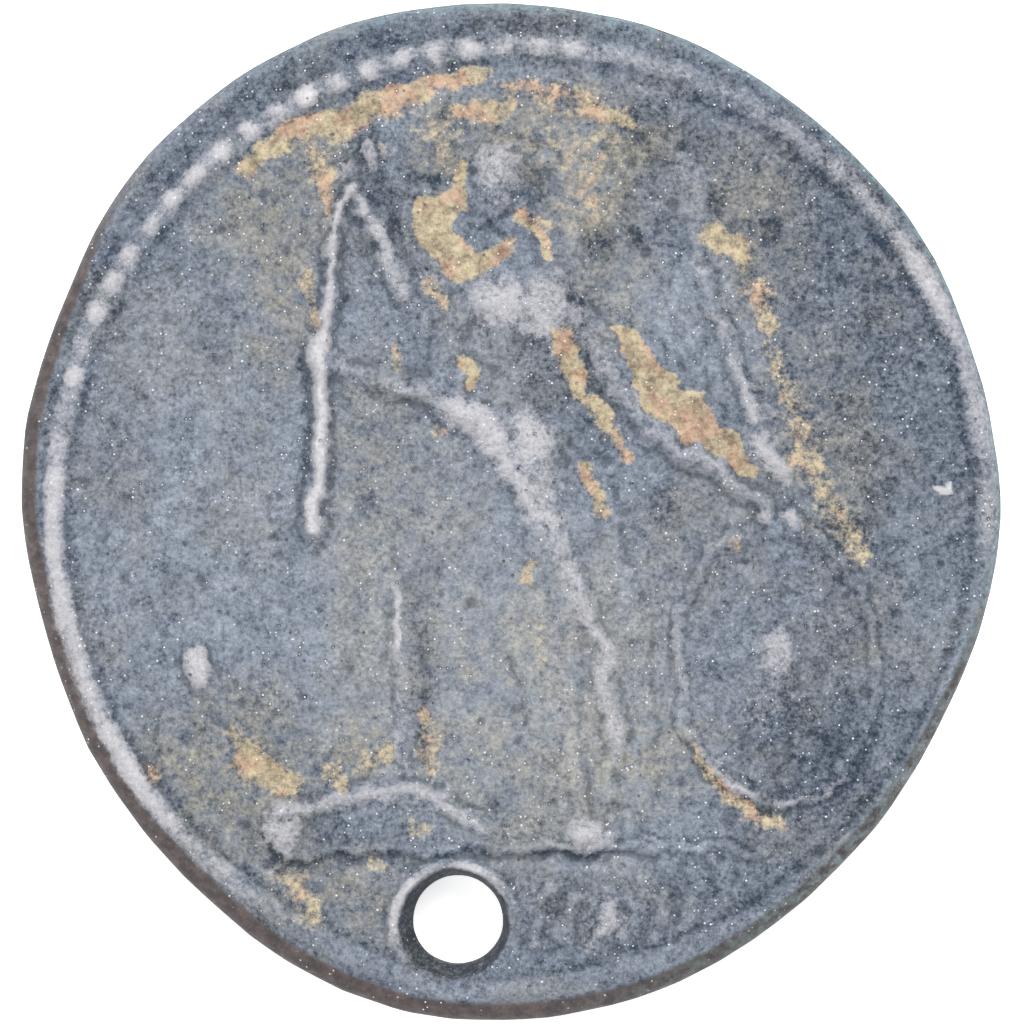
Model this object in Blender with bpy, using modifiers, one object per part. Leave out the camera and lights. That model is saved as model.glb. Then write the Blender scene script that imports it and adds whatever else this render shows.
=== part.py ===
"""A worn bronze follis: one struck and pierced coin, lying on its obverse.

The reverse is on top: Victory stands on a ship's prow with a spear, her left hand on a shield.
The obverse, underneath, is a helmeted bust in profile. Metres, +Z up, origin under the middle.
"""

import math

import bmesh
import bpy
import numpy as np

MM = 0.001

# The flan, which is the hammered blank.
FLAN_DIAMETER = 17.50 * MM
# Lobes of its uneven outline: how many go round, their height as a share of the radius,
# and the direction of one of them in degrees.
FLAN_LOBES = (
    (2, 0.0232, 94.0), (3, 0.0126, 18.0), (4, 0.0052, 2.0), (5, 0.0021, -22.0),
    (6, 0.0017, 2.0), (8, 0.0022, 37.0), (10, 0.0023, -2.6),
)
FIELD_THICKNESS = 1.14 * MM
EDGE_WIDTH = 0.30 * MM
EDGE_DROP = 0.32 * MM
EDGE_SPLAY = 0.45
EDGE_SPLAY_DIRECTION = 240.0
MARGIN_FALL = 0.10

# The dies. Both are struck a little off the middle of the flan.
BORDER_RADIUS = 8.20 * MM
REVERSE_SHIFT = (0.17 * MM, 0.0)
OBVERSE_SHIFT = (-0.10 * MM, 0.12 * MM)
BORDER_WIDTH = 0.42 * MM
BORDER_HEIGHT = 0.12 * MM
BEADS = 86
BEAD_DEPTH = 0.4
# The punch pushed the border outward where it passes the hole.
BORDER_PUSH = 0.30 * MM
BORDER_PUSH_SPREAD = 15.0
RELIEF_HEIGHT = 0.26 * MM
OBVERSE_RELIEF = 0.20 * MM
OBVERSE_BORDER_HEIGHT = 0.18 * MM
OBVERSE_FIELD_DEPTH = 0.15 * MM

# The piercing, and the burr that the punch raised round it.
HOLE_DIAMETER = 1.58 * MM
HOLE_DIRECTION = 262.7
HOLE_TO_EDGE = 0.89 * MM
HOLE_FLARE = 0.20 * MM
BURR_WIDTH = 0.32 * MM
BURR_HEIGHT = 0.11 * MM

# How finely the coin is turned before it is thinned to its final facets.
TURNS = 288
TOP_RINGS = 92
UNDER_RINGS = 60
EDGE_RINGS = 7
HOLE_SIDES = 40
FACETS = 9000

BRONZE_PATINA = (0.25, 0.30, 0.34, 1.0)

# The designs are drawn in hundredths of the border's radius, from its middle.
# A ridge is (points, width at its start, width at its end, share of the relief's height).
# A dome is (middle, half width, half height, turn in degrees, share of the relief's height).
# A plate is (corners, softness of its edge, share of the relief's height).
SHIELD_MIDDLE = (55.0, -32.7)
SHIELD_SIZE = (22.0, 30.0)
SHIELD_BEADS = 34

REVERSE_PLATES = (
    # wing behind the spear
    (((-32, 84), (-26, 82), (-22, 70), (-19, 58), (-15, 46), (-20, 38), (-29, 54), (-34, 67)), 5.0, 0.32),
    # wing behind the shield arm
    (((24, 83), (29, 85), (37, 75), (44, 60), (51, 43), (57, 26), (61, 9), (58, 4), (51, 11), (42, 24),
      (31, 36), (20, 45), (15, 56), (18, 70)), 6.0, 0.38),
    # body, from the shoulders to the hips
    (((-11, 51), (-3, 55), (7, 53), (12, 47), (8, 37), (8, 29), (14, 20), (16, 9), (8, 2), (-7, 4), (-10, 14),
      (-6, 27), (-9, 38)), 8.0, 0.60),
    # skirt
    (((-9, 16), (16, 16), (22, -10), (27, -40), (25, -67), (10, -70), (4, -40), (-12, -10)), 6.0, 0.36),
    # hull of the prow
    (((-56, -65), (-46, -61), (-30, -58), (-17, -60), (-5, -68), (-8, -73), (-53, -74)), 3.4, 0.42),
)

REVERSE_DOMES = (
    # head, face, roll of hair, knot of hair and neck
    ((-2.4, 72.5), 7.6, 8.6, -6, 0.84),
    ((-6.4, 68.0), 4.4, 6.0, -4, 0.80),
    ((-10.6, 69.4), 1.6, 2.6, 16, 0.44),
    ((-8.2, 63.2), 2.6, 2.0, 0, 0.56),
    ((5.4, 74.5), 3.9, 3.6, 20, 0.74),
    ((-2.2, 58.0), 4.2, 8.0, 10, 0.58),
    # chest, belly and hip
    ((-5.0, 45.5), 7.0, 7.0, 0, 0.98),
    ((4.4, 46.0), 6.6, 6.6, 0, 0.92),
    ((1.0, 31.0), 6.0, 10.0, 4, 0.74),
    ((4.0, 13.5), 7.6, 10.6, -6, 0.92),
    # hand on the spear, and hand on the shield
    ((-41.6, 30.5), 3.4, 4.2, -10, 0.96),
    ((52.0, -1.5), 3.0, 2.8, -8, 0.70),
    ((57.4, -2.2), 2.8, 2.6, -8, 0.66),
    # knee, the foot on the prow and the standing foot
    ((-19.8, -6.0), 6.6, 6.0, 40, 0.66),
    ((-27.0, -56.6), 5.6, 3.2, 12, 0.62),
    ((13.6, -67.8), 5.0, 3.6, 0, 0.84),
    # shield, its boss, the prow's ram and the knob of its stem
    (SHIELD_MIDDLE, SHIELD_SIZE[0], SHIELD_SIZE[1], 0, 0.54),
    ((55.2, -30.4), 5.4, 9.2, -4, 0.78),
    ((-50.8, -68.4), 5.6, 6.0, 0, 0.86),
    ((-68.8, -34.0), 3.8, 4.0, 0, 0.72),
    # beads at the head of the spear
    ((-36.3, 72.8), 2.4, 2.4, 0, 0.62),
    ((-32.4, 76.6), 2.4, 2.6, 0, 0.60),
)

REVERSE_RIDGES = (
    # spear
    (((-35.4, 69.5), (-39, 61.5), (-40.8, 50), (-42.3, 38.5), (-43, 28), (-43.4, 12), (-44.8, -3.6)),
     2.2, 3.4, 0.86),
    # front edges of the two wings
    (((-35, 67.5), (-32.2, 62), (-28.6, 55.5), (-24.6, 46.5)), 2.8, 3.2, 0.60),
    (((34, 76), (38.6, 64), (43, 53), (47.6, 41), (52, 29), (58, 8)), 4.2, 4.0, 0.62),
    (((28, 83), (33, 74), (36.2, 64), (38.6, 53.5), (42.4, 42), (46.6, 30.5), (51.4, 20), (56.6, 8)),
     4.0, 3.8, 0.66),
    # feathers
    (((25, 72), (29, 58), (34, 44), (41, 30), (52, 13)), 3.4, 3.2, 0.50),
    (((20, 63), (24, 52), (30, 40), (39, 28)), 3.2, 3.0, 0.46),
    (((-27.5, 77), (-26, 66), (-22.5, 55), (-19, 47)), 3.0, 3.0, 0.46),
    # arm that holds the spear
    (((-10.0, 48), (-14.5, 38), (-15.8, 27)), 5.2, 4.4, 0.66),
    (((-15.6, 26), (-25.5, 26.8), (-40.6, 30)), 4.2, 3.0, 0.62),
    # arm that rests on the shield
    (((7.5, 49), (11, 43), (15.5, 35.5), (19.8, 27.4), (24.2, 21.2), (29.4, 16.8), (36.6, 12), (43.4, 8.6),
      (52, 0.6)), 5.2, 3.2, 0.76),
    # folds of the cloak round the hips and down between the legs
    (((-27, 28), (-17, 24), (-7.5, 18.5), (-2.5, 9.5), (3, 0), (6, -11)), 4.6, 4.8, 0.84),
    (((10, 18), (6, 9), (1.5, 2)), 5.0, 4.0, 0.82),
    (((5.4, 2), (9, -12), (15, -24), (18.6, -33), (20, -46), (17.5, -61)), 4.8, 4.0, 0.78),
    (((7, -11), (11, -27), (10.4, -45), (12.4, -66)), 4.0, 3.8, 0.62),
    (((17, 9), (20.4, -10), (25, -32), (26, -50)), 3.4, 3.4, 0.46),
    (((-10.6, 3), (-6.4, -12), (0, -27), (4.4, -45)), 3.4, 3.0, 0.42),
    # leg that stands on the prow
    (((-2.5, 11.5), (-11, 4), (-19.4, -5)), 9.0, 7.6, 0.62),
    (((-20.2, -6), (-23.8, -18), (-24.4, -36), (-23.4, -55)), 5.6, 3.6, 0.64),
    # stem of the prow, its gunwale, and the line that everything stands on
    (((-68, -35.4), (-60, -43.4), (-49.2, -52), (-40.4, -59.6)), 3.8, 5.4, 0.56),
    (((-54, -65.4), (-44, -62.6), (-34.4, -60.8), (-27.4, -60.0), (-20.5, -60.8), (-13.5, -64.6), (-8.6, -69.6)),
     3.8, 3.2, 0.76),
    (((-8, -72), (8.5, -71.6), (28, -71.4), (52, -72.6)), 2.0, 1.6, 0.34),
)

REVERSE_GROOVES = (
    # under the prow and the ground line
    (((-53, -75.8), (-34, -75.4), (-8, -74.8), (8, -74.2), (28, -73.8)), 2.2, 1.6, 0.18),
)

# Worn marks stand where the legends were: they are strokes, not letters.
MARK_HEIGHT = 0.34
MARK_WIDTH = 2.2
# Below the ground line: how far across each stroke is and how tall.
EXERGUE_LEVEL = -87.0
EXERGUE_LEAN = 2.4
EXERGUE_MARKS = ((3.5, 12.0), (9.5, 8.0), (16.5, 11.0), (22.0, 7.0), (28.0, 10.0), (34.5, 7.0))
# Beside the bust: first and last direction in degrees, and how many strokes.
LEGEND_RADIUS = 84.0
LEGEND_MARK_LENGTH = 11.0
LEGEND_MARK_HEIGHT = 0.62
LEGEND_ROWS = ((208.0, 124.0, 12), (56.0, -24.0, 12))

OBVERSE_PLATES = (
    # shoulders and cloak
    (((-36, -55), (-31, -40), (-15, -31), (8, -27), (30, -32), (44, -50), (24, -68), (-10, -72)), 8.0, 0.44),
)

OBVERSE_DOMES = (
    # helmet, face, nose, chin and neck
    ((4.5, 33.0), 21.0, 18.0, 8, 0.86),
    ((-4.0, 14.0), 15.0, 21.0, -8, 0.78),
    ((-19.0, 14.0), 3.4, 5.2, 20, 0.56),
    ((-12.5, -1.6), 6.0, 5.4, 0, 0.62),
    ((5.0, -12.0), 14.0, 26.0, 6, 1.08),
    # shoulder and its brooch
    ((6.0, -46.0), 32.0, 19.0, -4, 0.84),
    ((20.0, -38.0), 4.6, 4.6, 0, 0.92),
)

OBVERSE_RIDGES = (
    # crest of the helmet, its brim and its neck guard
    (((-20, 43), (-9, 56), (10, 60), (26, 51), (34, 33), (33, 13)), 6.4, 7.0, 0.72),
    (((-20, 23), (-10, 28.5), (5, 26.5), (19, 18)), 3.8, 3.8, 0.94),
    (((19, 18), (22, 8), (29, -1)), 4.8, 3.6, 0.74),
    # staff behind the shoulder
    (((31, -38), (42, -12), (52, 17)), 3.4, 3.0, 0.58),
    # folds of the cloak
    (((-27, -43), (-15, -54), (2, -61), (22, -62)), 4.0, 3.6, 0.80),
    (((-14, -34), (-4, -47), (14, -54), (33, -53)), 4.0, 3.6, 0.90),
)


def outline_radius(angle):
    """Distance from the flan's own middle to its edge, in a direction in radians."""
    swell = sum(share * np.cos(count * (angle - math.radians(peak))) for count, share, peak in FLAN_LOBES)
    return FLAN_DIAMETER / 2 * (1 + swell)


def flan_middle():
    """Middle of the outline's box, seen from the middle that the outline is drawn round."""
    angle = np.linspace(0, 2 * math.pi, 720, endpoint=False)
    radius = outline_radius(angle)
    x, y = radius * np.cos(angle), radius * np.sin(angle)
    return (x.max() + x.min()) / 2, (y.max() + y.min()) / 2


def hole_middle():
    """Where the piercing is, seen from the middle of the flan's box."""
    angle = math.radians(HOLE_DIRECTION)
    reach = outline_radius(angle) - HOLE_TO_EDGE - HOLE_DIAMETER / 2
    shift = flan_middle()
    return reach * math.cos(angle) - shift[0], reach * math.sin(angle) - shift[1]


def smooth_line(points, pieces=6):
    """Points along a smooth curve through the given ones."""
    p = np.array(points, float)
    p = np.vstack([2 * p[0] - p[1], p, 2 * p[-1] - p[-2]])
    t = np.linspace(0, 1, pieces, endpoint=False)[:, None]
    runs = []
    for a, b, c, d in zip(p[:-3], p[1:-2], p[2:-1], p[3:]):
        runs.append(0.5 * (2 * b + (c - a) * t + (2 * a - 5 * b + 4 * c - d) * t**2
                           + (3 * b - a - 3 * c + d) * t**3))
    return np.vstack(runs + [p[-2:-1]])


def line_reach(x, y, line):
    """Distance from each point to a line of points, and how far along the line its nearest place is."""
    lengths = np.linalg.norm(np.diff(line, axis=0), axis=1)
    before = np.concatenate([[0.0], np.cumsum(lengths)])
    nearest = np.full(x.shape, np.inf)
    along = np.zeros(x.shape)
    for i, (start, end) in enumerate(zip(line[:-1], line[1:])):
        run = end - start
        t = np.clip(((x - start[0]) * run[0] + (y - start[1]) * run[1]) / (run @ run), 0, 1)
        distance = np.hypot(x - start[0] - t * run[0], y - start[1] - t * run[1])
        closer = distance < nearest
        nearest = np.where(closer, distance, nearest)
        along = np.where(closer, (before[i] + t * lengths[i]) / before[-1], along)
    return nearest, along


def close_to(x, y, line, reach):
    """Which points are in the line's box, widened by a reach."""
    low, high = line.min(axis=0) - reach, line.max(axis=0) + reach
    return (x > low[0]) & (x < high[0]) & (y > low[1]) & (y < high[1])


def ridge_height(x, y, ridge):
    points, start_width, end_width, height = ridge
    line = smooth_line(points)
    near = close_to(x, y, line, max(start_width, end_width))
    distance, along = line_reach(x[near], y[near], line)
    width = start_width + (end_width - start_width) * along
    raised = np.zeros(x.shape)
    raised[near] = height * np.clip(1 - (distance / width) ** 2, 0, 1) ** 1.5
    return raised


def dome_height(x, y, dome):
    (cx, cy), half_width, half_height, turn, height = dome
    c, s = math.cos(math.radians(turn)), math.sin(math.radians(turn))
    across, up = (x - cx) * c + (y - cy) * s, (y - cy) * c - (x - cx) * s
    reach = (across / half_width) ** 2 + (up / half_height) ** 2
    return height * np.clip(1 - reach, 0, 1) ** 0.8


def plate_height(x, y, plate):
    corners, softness, height = plate
    line = smooth_line(corners + corners[:1], 3)
    near = close_to(x, y, line, softness)
    px, py = x[near], y[near]
    distance, _ = line_reach(px, py, line)
    inside = np.zeros(px.shape, bool)
    for (ax, ay), (bx, by) in zip(line[:-1], line[1:]):
        crosses = (ay > py) != (by > py)
        rise = by - ay if by != ay else 1.0
        inside ^= crosses & (px < ax + (bx - ax) * (py - ay) / rise)
    step = np.clip(0.5 + np.where(inside, distance, -distance) / softness, 0, 1)
    raised = np.zeros(x.shape)
    raised[near] = height * step * step * (3 - 2 * step)
    return raised


def exergue_strokes():
    """The worn strokes below the ground line, as ridges."""
    strokes = []
    for across, tall in EXERGUE_MARKS:
        ends = ((across, EXERGUE_LEVEL - tall / 2), (across + EXERGUE_LEAN, EXERGUE_LEVEL + tall / 2))
        strokes.append((ends, MARK_WIDTH, MARK_WIDTH, MARK_HEIGHT))
    return tuple(strokes)


def legend_strokes():
    """Worn strokes along both sides of the bust, each pointing at the middle."""
    strokes = []
    for first, last, count in LEGEND_ROWS:
        for direction in np.radians(np.linspace(first, last, count)):
            ends = [((LEGEND_RADIUS + end * LEGEND_MARK_LENGTH / 2) * math.cos(direction),
                     (LEGEND_RADIUS + end * LEGEND_MARK_LENGTH / 2) * math.sin(direction)) for end in (-1, 1)]
            strokes.append((ends, MARK_WIDTH, MARK_WIDTH, LEGEND_MARK_HEIGHT))
    return tuple(strokes)


def shield_rim(x, y):
    """Beaded rim of the shield."""
    across, up = (x - SHIELD_MIDDLE[0]) / SHIELD_SIZE[0], (y - SHIELD_MIDDLE[1]) / SHIELD_SIZE[1]
    reach, angle = np.hypot(across, up), np.arctan2(up, across)
    beads = 1 - 0.3 * np.sin(angle * SHIELD_BEADS / 2) ** 2
    return 0.46 * beads * np.clip(1 - ((reach - 0.96) / 0.08) ** 2, 0, 1)


def blended(heights):
    """The highest of several heights, with soft joins where two are alike."""
    return sum(h**4 for h in heights) ** 0.25


def reverse_design(x, y):
    heights = [plate_height(x, y, p) for p in REVERSE_PLATES]
    heights += [dome_height(x, y, d) for d in REVERSE_DOMES]
    heights += [ridge_height(x, y, r) for r in REVERSE_RIDGES + exergue_strokes()]
    heights.append(shield_rim(x, y))
    return blended(heights) - sum(ridge_height(x, y, g) for g in REVERSE_GROOVES)


def obverse_design(x, y):
    heights = [plate_height(x, y, p) for p in OBVERSE_PLATES]
    heights += [dome_height(x, y, d) for d in OBVERSE_DOMES]
    heights += [ridge_height(x, y, r) for r in OBVERSE_RIDGES + legend_strokes()]
    return blended(heights)


def border_radius(angle):
    """Distance from a design's middle to its border, in a direction in radians."""
    away = (np.degrees(angle) - HOLE_DIRECTION + 180) % 360 - 180
    return BORDER_RADIUS + BORDER_PUSH * np.exp(-((away / BORDER_PUSH_SPREAD) ** 2))


def border_height(x, y, shift, height):
    """Raised ring of worn beads round a design."""
    dx, dy = x - shift[0], y - shift[1]
    across = (np.hypot(dx, dy) - border_radius(np.arctan2(dy, dx))) / (BORDER_WIDTH / 2)
    beads = 1 - BEAD_DEPTH * np.sin(np.arctan2(dy, dx) * BEADS / 2) ** 2
    return height * beads * np.clip(1 - across**2, 0, 1)


def edge_width(angle):
    """Width of the rounded edge, which splays where the flan was hammered thin."""
    return EDGE_WIDTH * (1 + EDGE_SPLAY * np.cos(angle - math.radians(EDGE_SPLAY_DIRECTION)))


def edge_drop(to_edge, angle):
    """How far the face has fallen at a distance from the flan's edge."""
    inward = np.clip(1 - to_edge / edge_width(angle), 0, 1)
    return EDGE_DROP * (1 - np.sqrt(1 - inward**2))


def reverse_height(x, y, to_edge, angle):
    """Height of the upper face."""
    u, v = (x - REVERSE_SHIFT[0]) / BORDER_RADIUS * 100, (y - REVERSE_SHIFT[1]) / BORDER_RADIUS * 100
    within = np.hypot(u, v) < 97
    design = np.where(within, reverse_design(u, v), 0.0) * RELIEF_HEIGHT
    outside = np.clip(np.hypot(x - REVERSE_SHIFT[0], y - REVERSE_SHIFT[1]) - BORDER_RADIUS, 0, None)
    hole_x, hole_y = hole_middle()
    from_hole = np.hypot(x - hole_x, y - hole_y) - HOLE_DIAMETER / 2
    burr = BURR_HEIGHT * np.clip(1 - ((from_hole - BURR_WIDTH / 2) / (BURR_WIDTH / 2)) ** 2, 0, 1)
    flat = np.clip(from_hole / BURR_WIDTH, 0, 1)
    level = OBVERSE_FIELD_DEPTH + FIELD_THICKNESS - MARGIN_FALL * outside - edge_drop(to_edge, angle)
    return level + design * flat + np.maximum(border_height(x, y, REVERSE_SHIFT, BORDER_HEIGHT) * flat, burr)


def obverse_height(x, y, to_edge, angle):
    """Height of the lower face, worn flat where the coin lies on it."""
    u, v = (x - OBVERSE_SHIFT[0]) / BORDER_RADIUS * 100, -(y - OBVERSE_SHIFT[1]) / BORDER_RADIUS * 100
    within = np.hypot(u, v) < 97
    design = np.where(within, obverse_design(u, v), 0.0) * OBVERSE_RELIEF
    border = border_height(x, y, OBVERSE_SHIFT, OBVERSE_BORDER_HEIGHT)
    return np.maximum(OBVERSE_FIELD_DEPTH - design - border, 0) + edge_drop(to_edge, angle)


def turned_blank():
    """A disc of radius 1 and thickness 1, turned from a profile with a Screw modifier."""
    near_edge = 1 - (1 - np.linspace(0, 1, EDGE_RINGS + 1)[:-1]) ** 2
    top = np.concatenate([np.linspace(0, 0.95, TOP_RINGS), 0.95 + 0.05 * near_edge[1:]])
    under = np.concatenate([np.linspace(0, 0.95, UNDER_RINGS), 0.95 + 0.05 * near_edge[1:]])
    profile = [(r, 1.0) for r in top] + [(1.0, z) for z in (1.0, 0.66, 0.33, 0.0)]
    profile += [(r, 0.0) for r in under[::-1]]
    mesh = bpy.data.meshes.new("profile")
    mesh.from_pydata([(r, 0, z) for r, z in profile], [(i, i + 1) for i in range(len(profile) - 1)], [])
    blank = bpy.data.objects.new("profile", mesh)
    bpy.context.scene.collection.objects.link(blank)
    turn = blank.modifiers.new("turn", "SCREW")
    turn.steps = turn.render_steps = TURNS
    turn.use_merge_vertices = True
    turn.merge_threshold = 0.0001
    graph = bpy.context.evaluated_depsgraph_get()
    disc = bpy.data.meshes.new_from_object(blank.evaluated_get(graph))
    bpy.data.objects.remove(blank)
    return disc


def strike(disc):
    """Moves the disc's points out to the flan's outline and up or down to the two struck faces."""
    points = np.zeros(len(disc.vertices) * 3)
    disc.vertices.foreach_get("co", points)
    points = points.reshape(-1, 3)
    share, angle, level = np.hypot(points[:, 0], points[:, 1]), np.arctan2(points[:, 1], points[:, 0]), points[:, 2]
    radius = share * outline_radius(angle)
    to_edge = outline_radius(angle) - radius
    shift = flan_middle()
    x, y = radius * np.cos(angle) - shift[0], radius * np.sin(angle) - shift[1]
    top, under = reverse_height(x, y, to_edge, angle), obverse_height(x, y, to_edge, angle)
    disc.vertices.foreach_set("co", np.column_stack([x, y, under + (top - under) * level]).ravel())
    disc.update()


def punch():
    """Cutter of the piercing, which widens upward, where the punch went in."""
    reach = 3 * FIELD_THICKNESS
    throat = HOLE_DIAMETER / 2
    levels = ((-reach, throat), (OBVERSE_FIELD_DEPTH + 0.3 * FIELD_THICKNESS, throat),
              (reach, throat + HOLE_FLARE * reach / FIELD_THICKNESS))
    x, y = hole_middle()
    form = bmesh.new()
    rings = []
    for z, radius in levels:
        around = [2 * math.pi * i / HOLE_SIDES for i in range(HOLE_SIDES)]
        rings.append([form.verts.new((x + radius * math.cos(a), y + radius * math.sin(a), z)) for a in around])
    form.faces.new(rings[0][::-1])
    form.faces.new(rings[-1])
    for low, high in zip(rings[:-1], rings[1:]):
        for i in range(HOLE_SIDES):
            j = (i + 1) % HOLE_SIDES
            form.faces.new((low[i], low[j], high[j], high[i]))
    mesh = bpy.data.meshes.new("punch")
    form.to_mesh(mesh)
    form.free()
    return bpy.data.objects.new("punch", mesh)


def patina():
    material = bpy.data.materials.new("bronze_patina")
    material.use_nodes = True
    shader = material.node_tree.nodes["Principled BSDF"]
    shader.inputs["Base Color"].default_value = BRONZE_PATINA
    shader.inputs["Roughness"].default_value = 0.6
    shader.inputs["Metallic"].default_value = 0.2
    return material


def collection(name):
    made = bpy.data.collections.new(name)
    bpy.context.scene.collection.children.link(made)
    return made


def main():
    for old in list(bpy.data.objects):
        bpy.data.objects.remove(old, do_unlink=True)
    parts, cutters = collection("follis"), collection("cutters")
    disc = turned_blank()
    strike(disc)
    disc.name = "coin"
    coin = bpy.data.objects.new("coin", disc)
    parts.objects.link(coin)
    cutter = punch()
    cutters.objects.link(cutter)
    cutter.hide_render = True
    cutter.display_type = "WIRE"
    thin = coin.modifiers.new("facets", "DECIMATE")
    thin.use_collapse_triangulate = True
    thin.ratio = FACETS / (2 * TURNS * (TOP_RINGS + UNDER_RINGS + 2 * EDGE_RINGS))
    cut = coin.modifiers.new("piercing", "BOOLEAN")
    cut.operation = "DIFFERENCE"
    cut.object = cutter
    disc.materials.append(patina())
    disc.shade_smooth()
    disc.set_sharp_from_angle(angle=math.radians(50))


main()
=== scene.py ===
"""The looks of a worn, pierced bronze follis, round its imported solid.

The coin is made again as a fine mesh from the same outline and the same two designs as the solid, with
the pitting, the worn beads and the burr that are too fine for it. Its patina, its worn metal and the
earth in its hollows are one node material, led by masks that are drawn over the designs.
"""

import math

import bpy
import numpy as np
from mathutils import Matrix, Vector
from mathutils.geometry import delaunay_2d_cdt


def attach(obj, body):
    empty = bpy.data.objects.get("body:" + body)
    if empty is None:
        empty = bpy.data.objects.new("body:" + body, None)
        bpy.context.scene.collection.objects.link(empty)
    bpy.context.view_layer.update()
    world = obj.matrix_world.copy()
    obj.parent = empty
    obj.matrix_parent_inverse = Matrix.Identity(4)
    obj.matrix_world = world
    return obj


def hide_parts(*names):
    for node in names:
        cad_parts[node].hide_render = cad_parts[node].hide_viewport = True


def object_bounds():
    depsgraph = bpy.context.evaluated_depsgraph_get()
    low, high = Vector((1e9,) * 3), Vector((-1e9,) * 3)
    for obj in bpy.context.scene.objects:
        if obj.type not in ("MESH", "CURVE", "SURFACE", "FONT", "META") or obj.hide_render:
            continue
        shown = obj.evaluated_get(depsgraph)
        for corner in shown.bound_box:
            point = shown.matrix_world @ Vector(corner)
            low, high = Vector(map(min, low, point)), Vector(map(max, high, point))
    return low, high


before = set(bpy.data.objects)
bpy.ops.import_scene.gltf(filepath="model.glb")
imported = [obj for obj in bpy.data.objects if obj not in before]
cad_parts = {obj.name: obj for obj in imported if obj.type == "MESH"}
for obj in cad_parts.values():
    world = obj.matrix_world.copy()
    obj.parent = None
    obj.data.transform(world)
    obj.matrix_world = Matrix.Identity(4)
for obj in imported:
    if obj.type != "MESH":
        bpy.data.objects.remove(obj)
cad_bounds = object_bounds()

MM = 0.001

# The flan, which is the hammered blank.
FLAN_DIAMETER = 17.50 * MM
# Lobes of its uneven outline: how many go round, their height as a share of the radius,
# and the direction of one of them in degrees.
FLAN_LOBES = (
    (2, 0.0232, 94.0), (3, 0.0126, 18.0), (4, 0.0052, 2.0), (5, 0.0021, -22.0),
    (6, 0.0017, 2.0), (8, 0.0022, 37.0), (10, 0.0023, -2.6),
)
FIELD_THICKNESS = 1.14 * MM
EDGE_WIDTH = 0.30 * MM
EDGE_DROP = 0.32 * MM
EDGE_SPLAY = 0.45
EDGE_SPLAY_DIRECTION = 240.0
MARGIN_FALL = 0.10

# The dies. Both are struck a little off the middle of the flan.
BORDER_RADIUS = 8.20 * MM
REVERSE_SHIFT = (0.17 * MM, 0.0)
OBVERSE_SHIFT = (-0.10 * MM, 0.12 * MM)
BORDER_WIDTH = 0.42 * MM
BORDER_HEIGHT = 0.12 * MM
BEADS = 86
BEAD_DEPTH = 0.4
# The punch pushed the border outward where it passes the hole.
BORDER_PUSH = 0.30 * MM
BORDER_PUSH_SPREAD = 15.0
RELIEF_HEIGHT = 0.26 * MM
OBVERSE_RELIEF = 0.20 * MM
OBVERSE_BORDER_HEIGHT = 0.18 * MM
OBVERSE_FIELD_DEPTH = 0.15 * MM

# The piercing, and the burr that the punch raised round it.
HOLE_DIAMETER = 1.58 * MM
HOLE_DIRECTION = 262.7
HOLE_TO_EDGE = 0.89 * MM
BURR_WIDTH = 0.32 * MM
BURR_HEIGHT = 0.11 * MM

# The designs are drawn in hundredths of the border's radius, from its middle.
# A ridge is (points, width at its start, width at its end, share of the relief's height).
# A dome is (middle, half width, half height, turn in degrees, share of the relief's height).
# A plate is (corners, softness of its edge, share of the relief's height).
SHIELD_MIDDLE = (55.0, -32.7)
SHIELD_SIZE = (22.0, 30.0)
SHIELD_BEADS = 34

REVERSE_PLATES = (
    # wing behind the spear
    (((-32, 84), (-26, 82), (-22, 70), (-19, 58), (-15, 46), (-20, 38), (-29, 54), (-34, 67)), 5.0, 0.32),
    # wing behind the shield arm
    (((24, 83), (29, 85), (37, 75), (44, 60), (51, 43), (57, 26), (61, 9), (58, 4), (51, 11), (42, 24),
      (31, 36), (20, 45), (15, 56), (18, 70)), 6.0, 0.38),
    # body, from the shoulders to the hips
    (((-11, 51), (-3, 55), (7, 53), (12, 47), (8, 37), (8, 29), (14, 20), (16, 9), (8, 2), (-7, 4), (-10, 14),
      (-6, 27), (-9, 38)), 8.0, 0.60),
    # skirt
    (((-9, 16), (16, 16), (22, -10), (27, -40), (25, -67), (10, -70), (4, -40), (-12, -10)), 6.0, 0.36),
    # hull of the prow
    (((-56, -65), (-46, -61), (-30, -58), (-17, -60), (-5, -68), (-8, -73), (-53, -74)), 3.4, 0.42),
)

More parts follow.
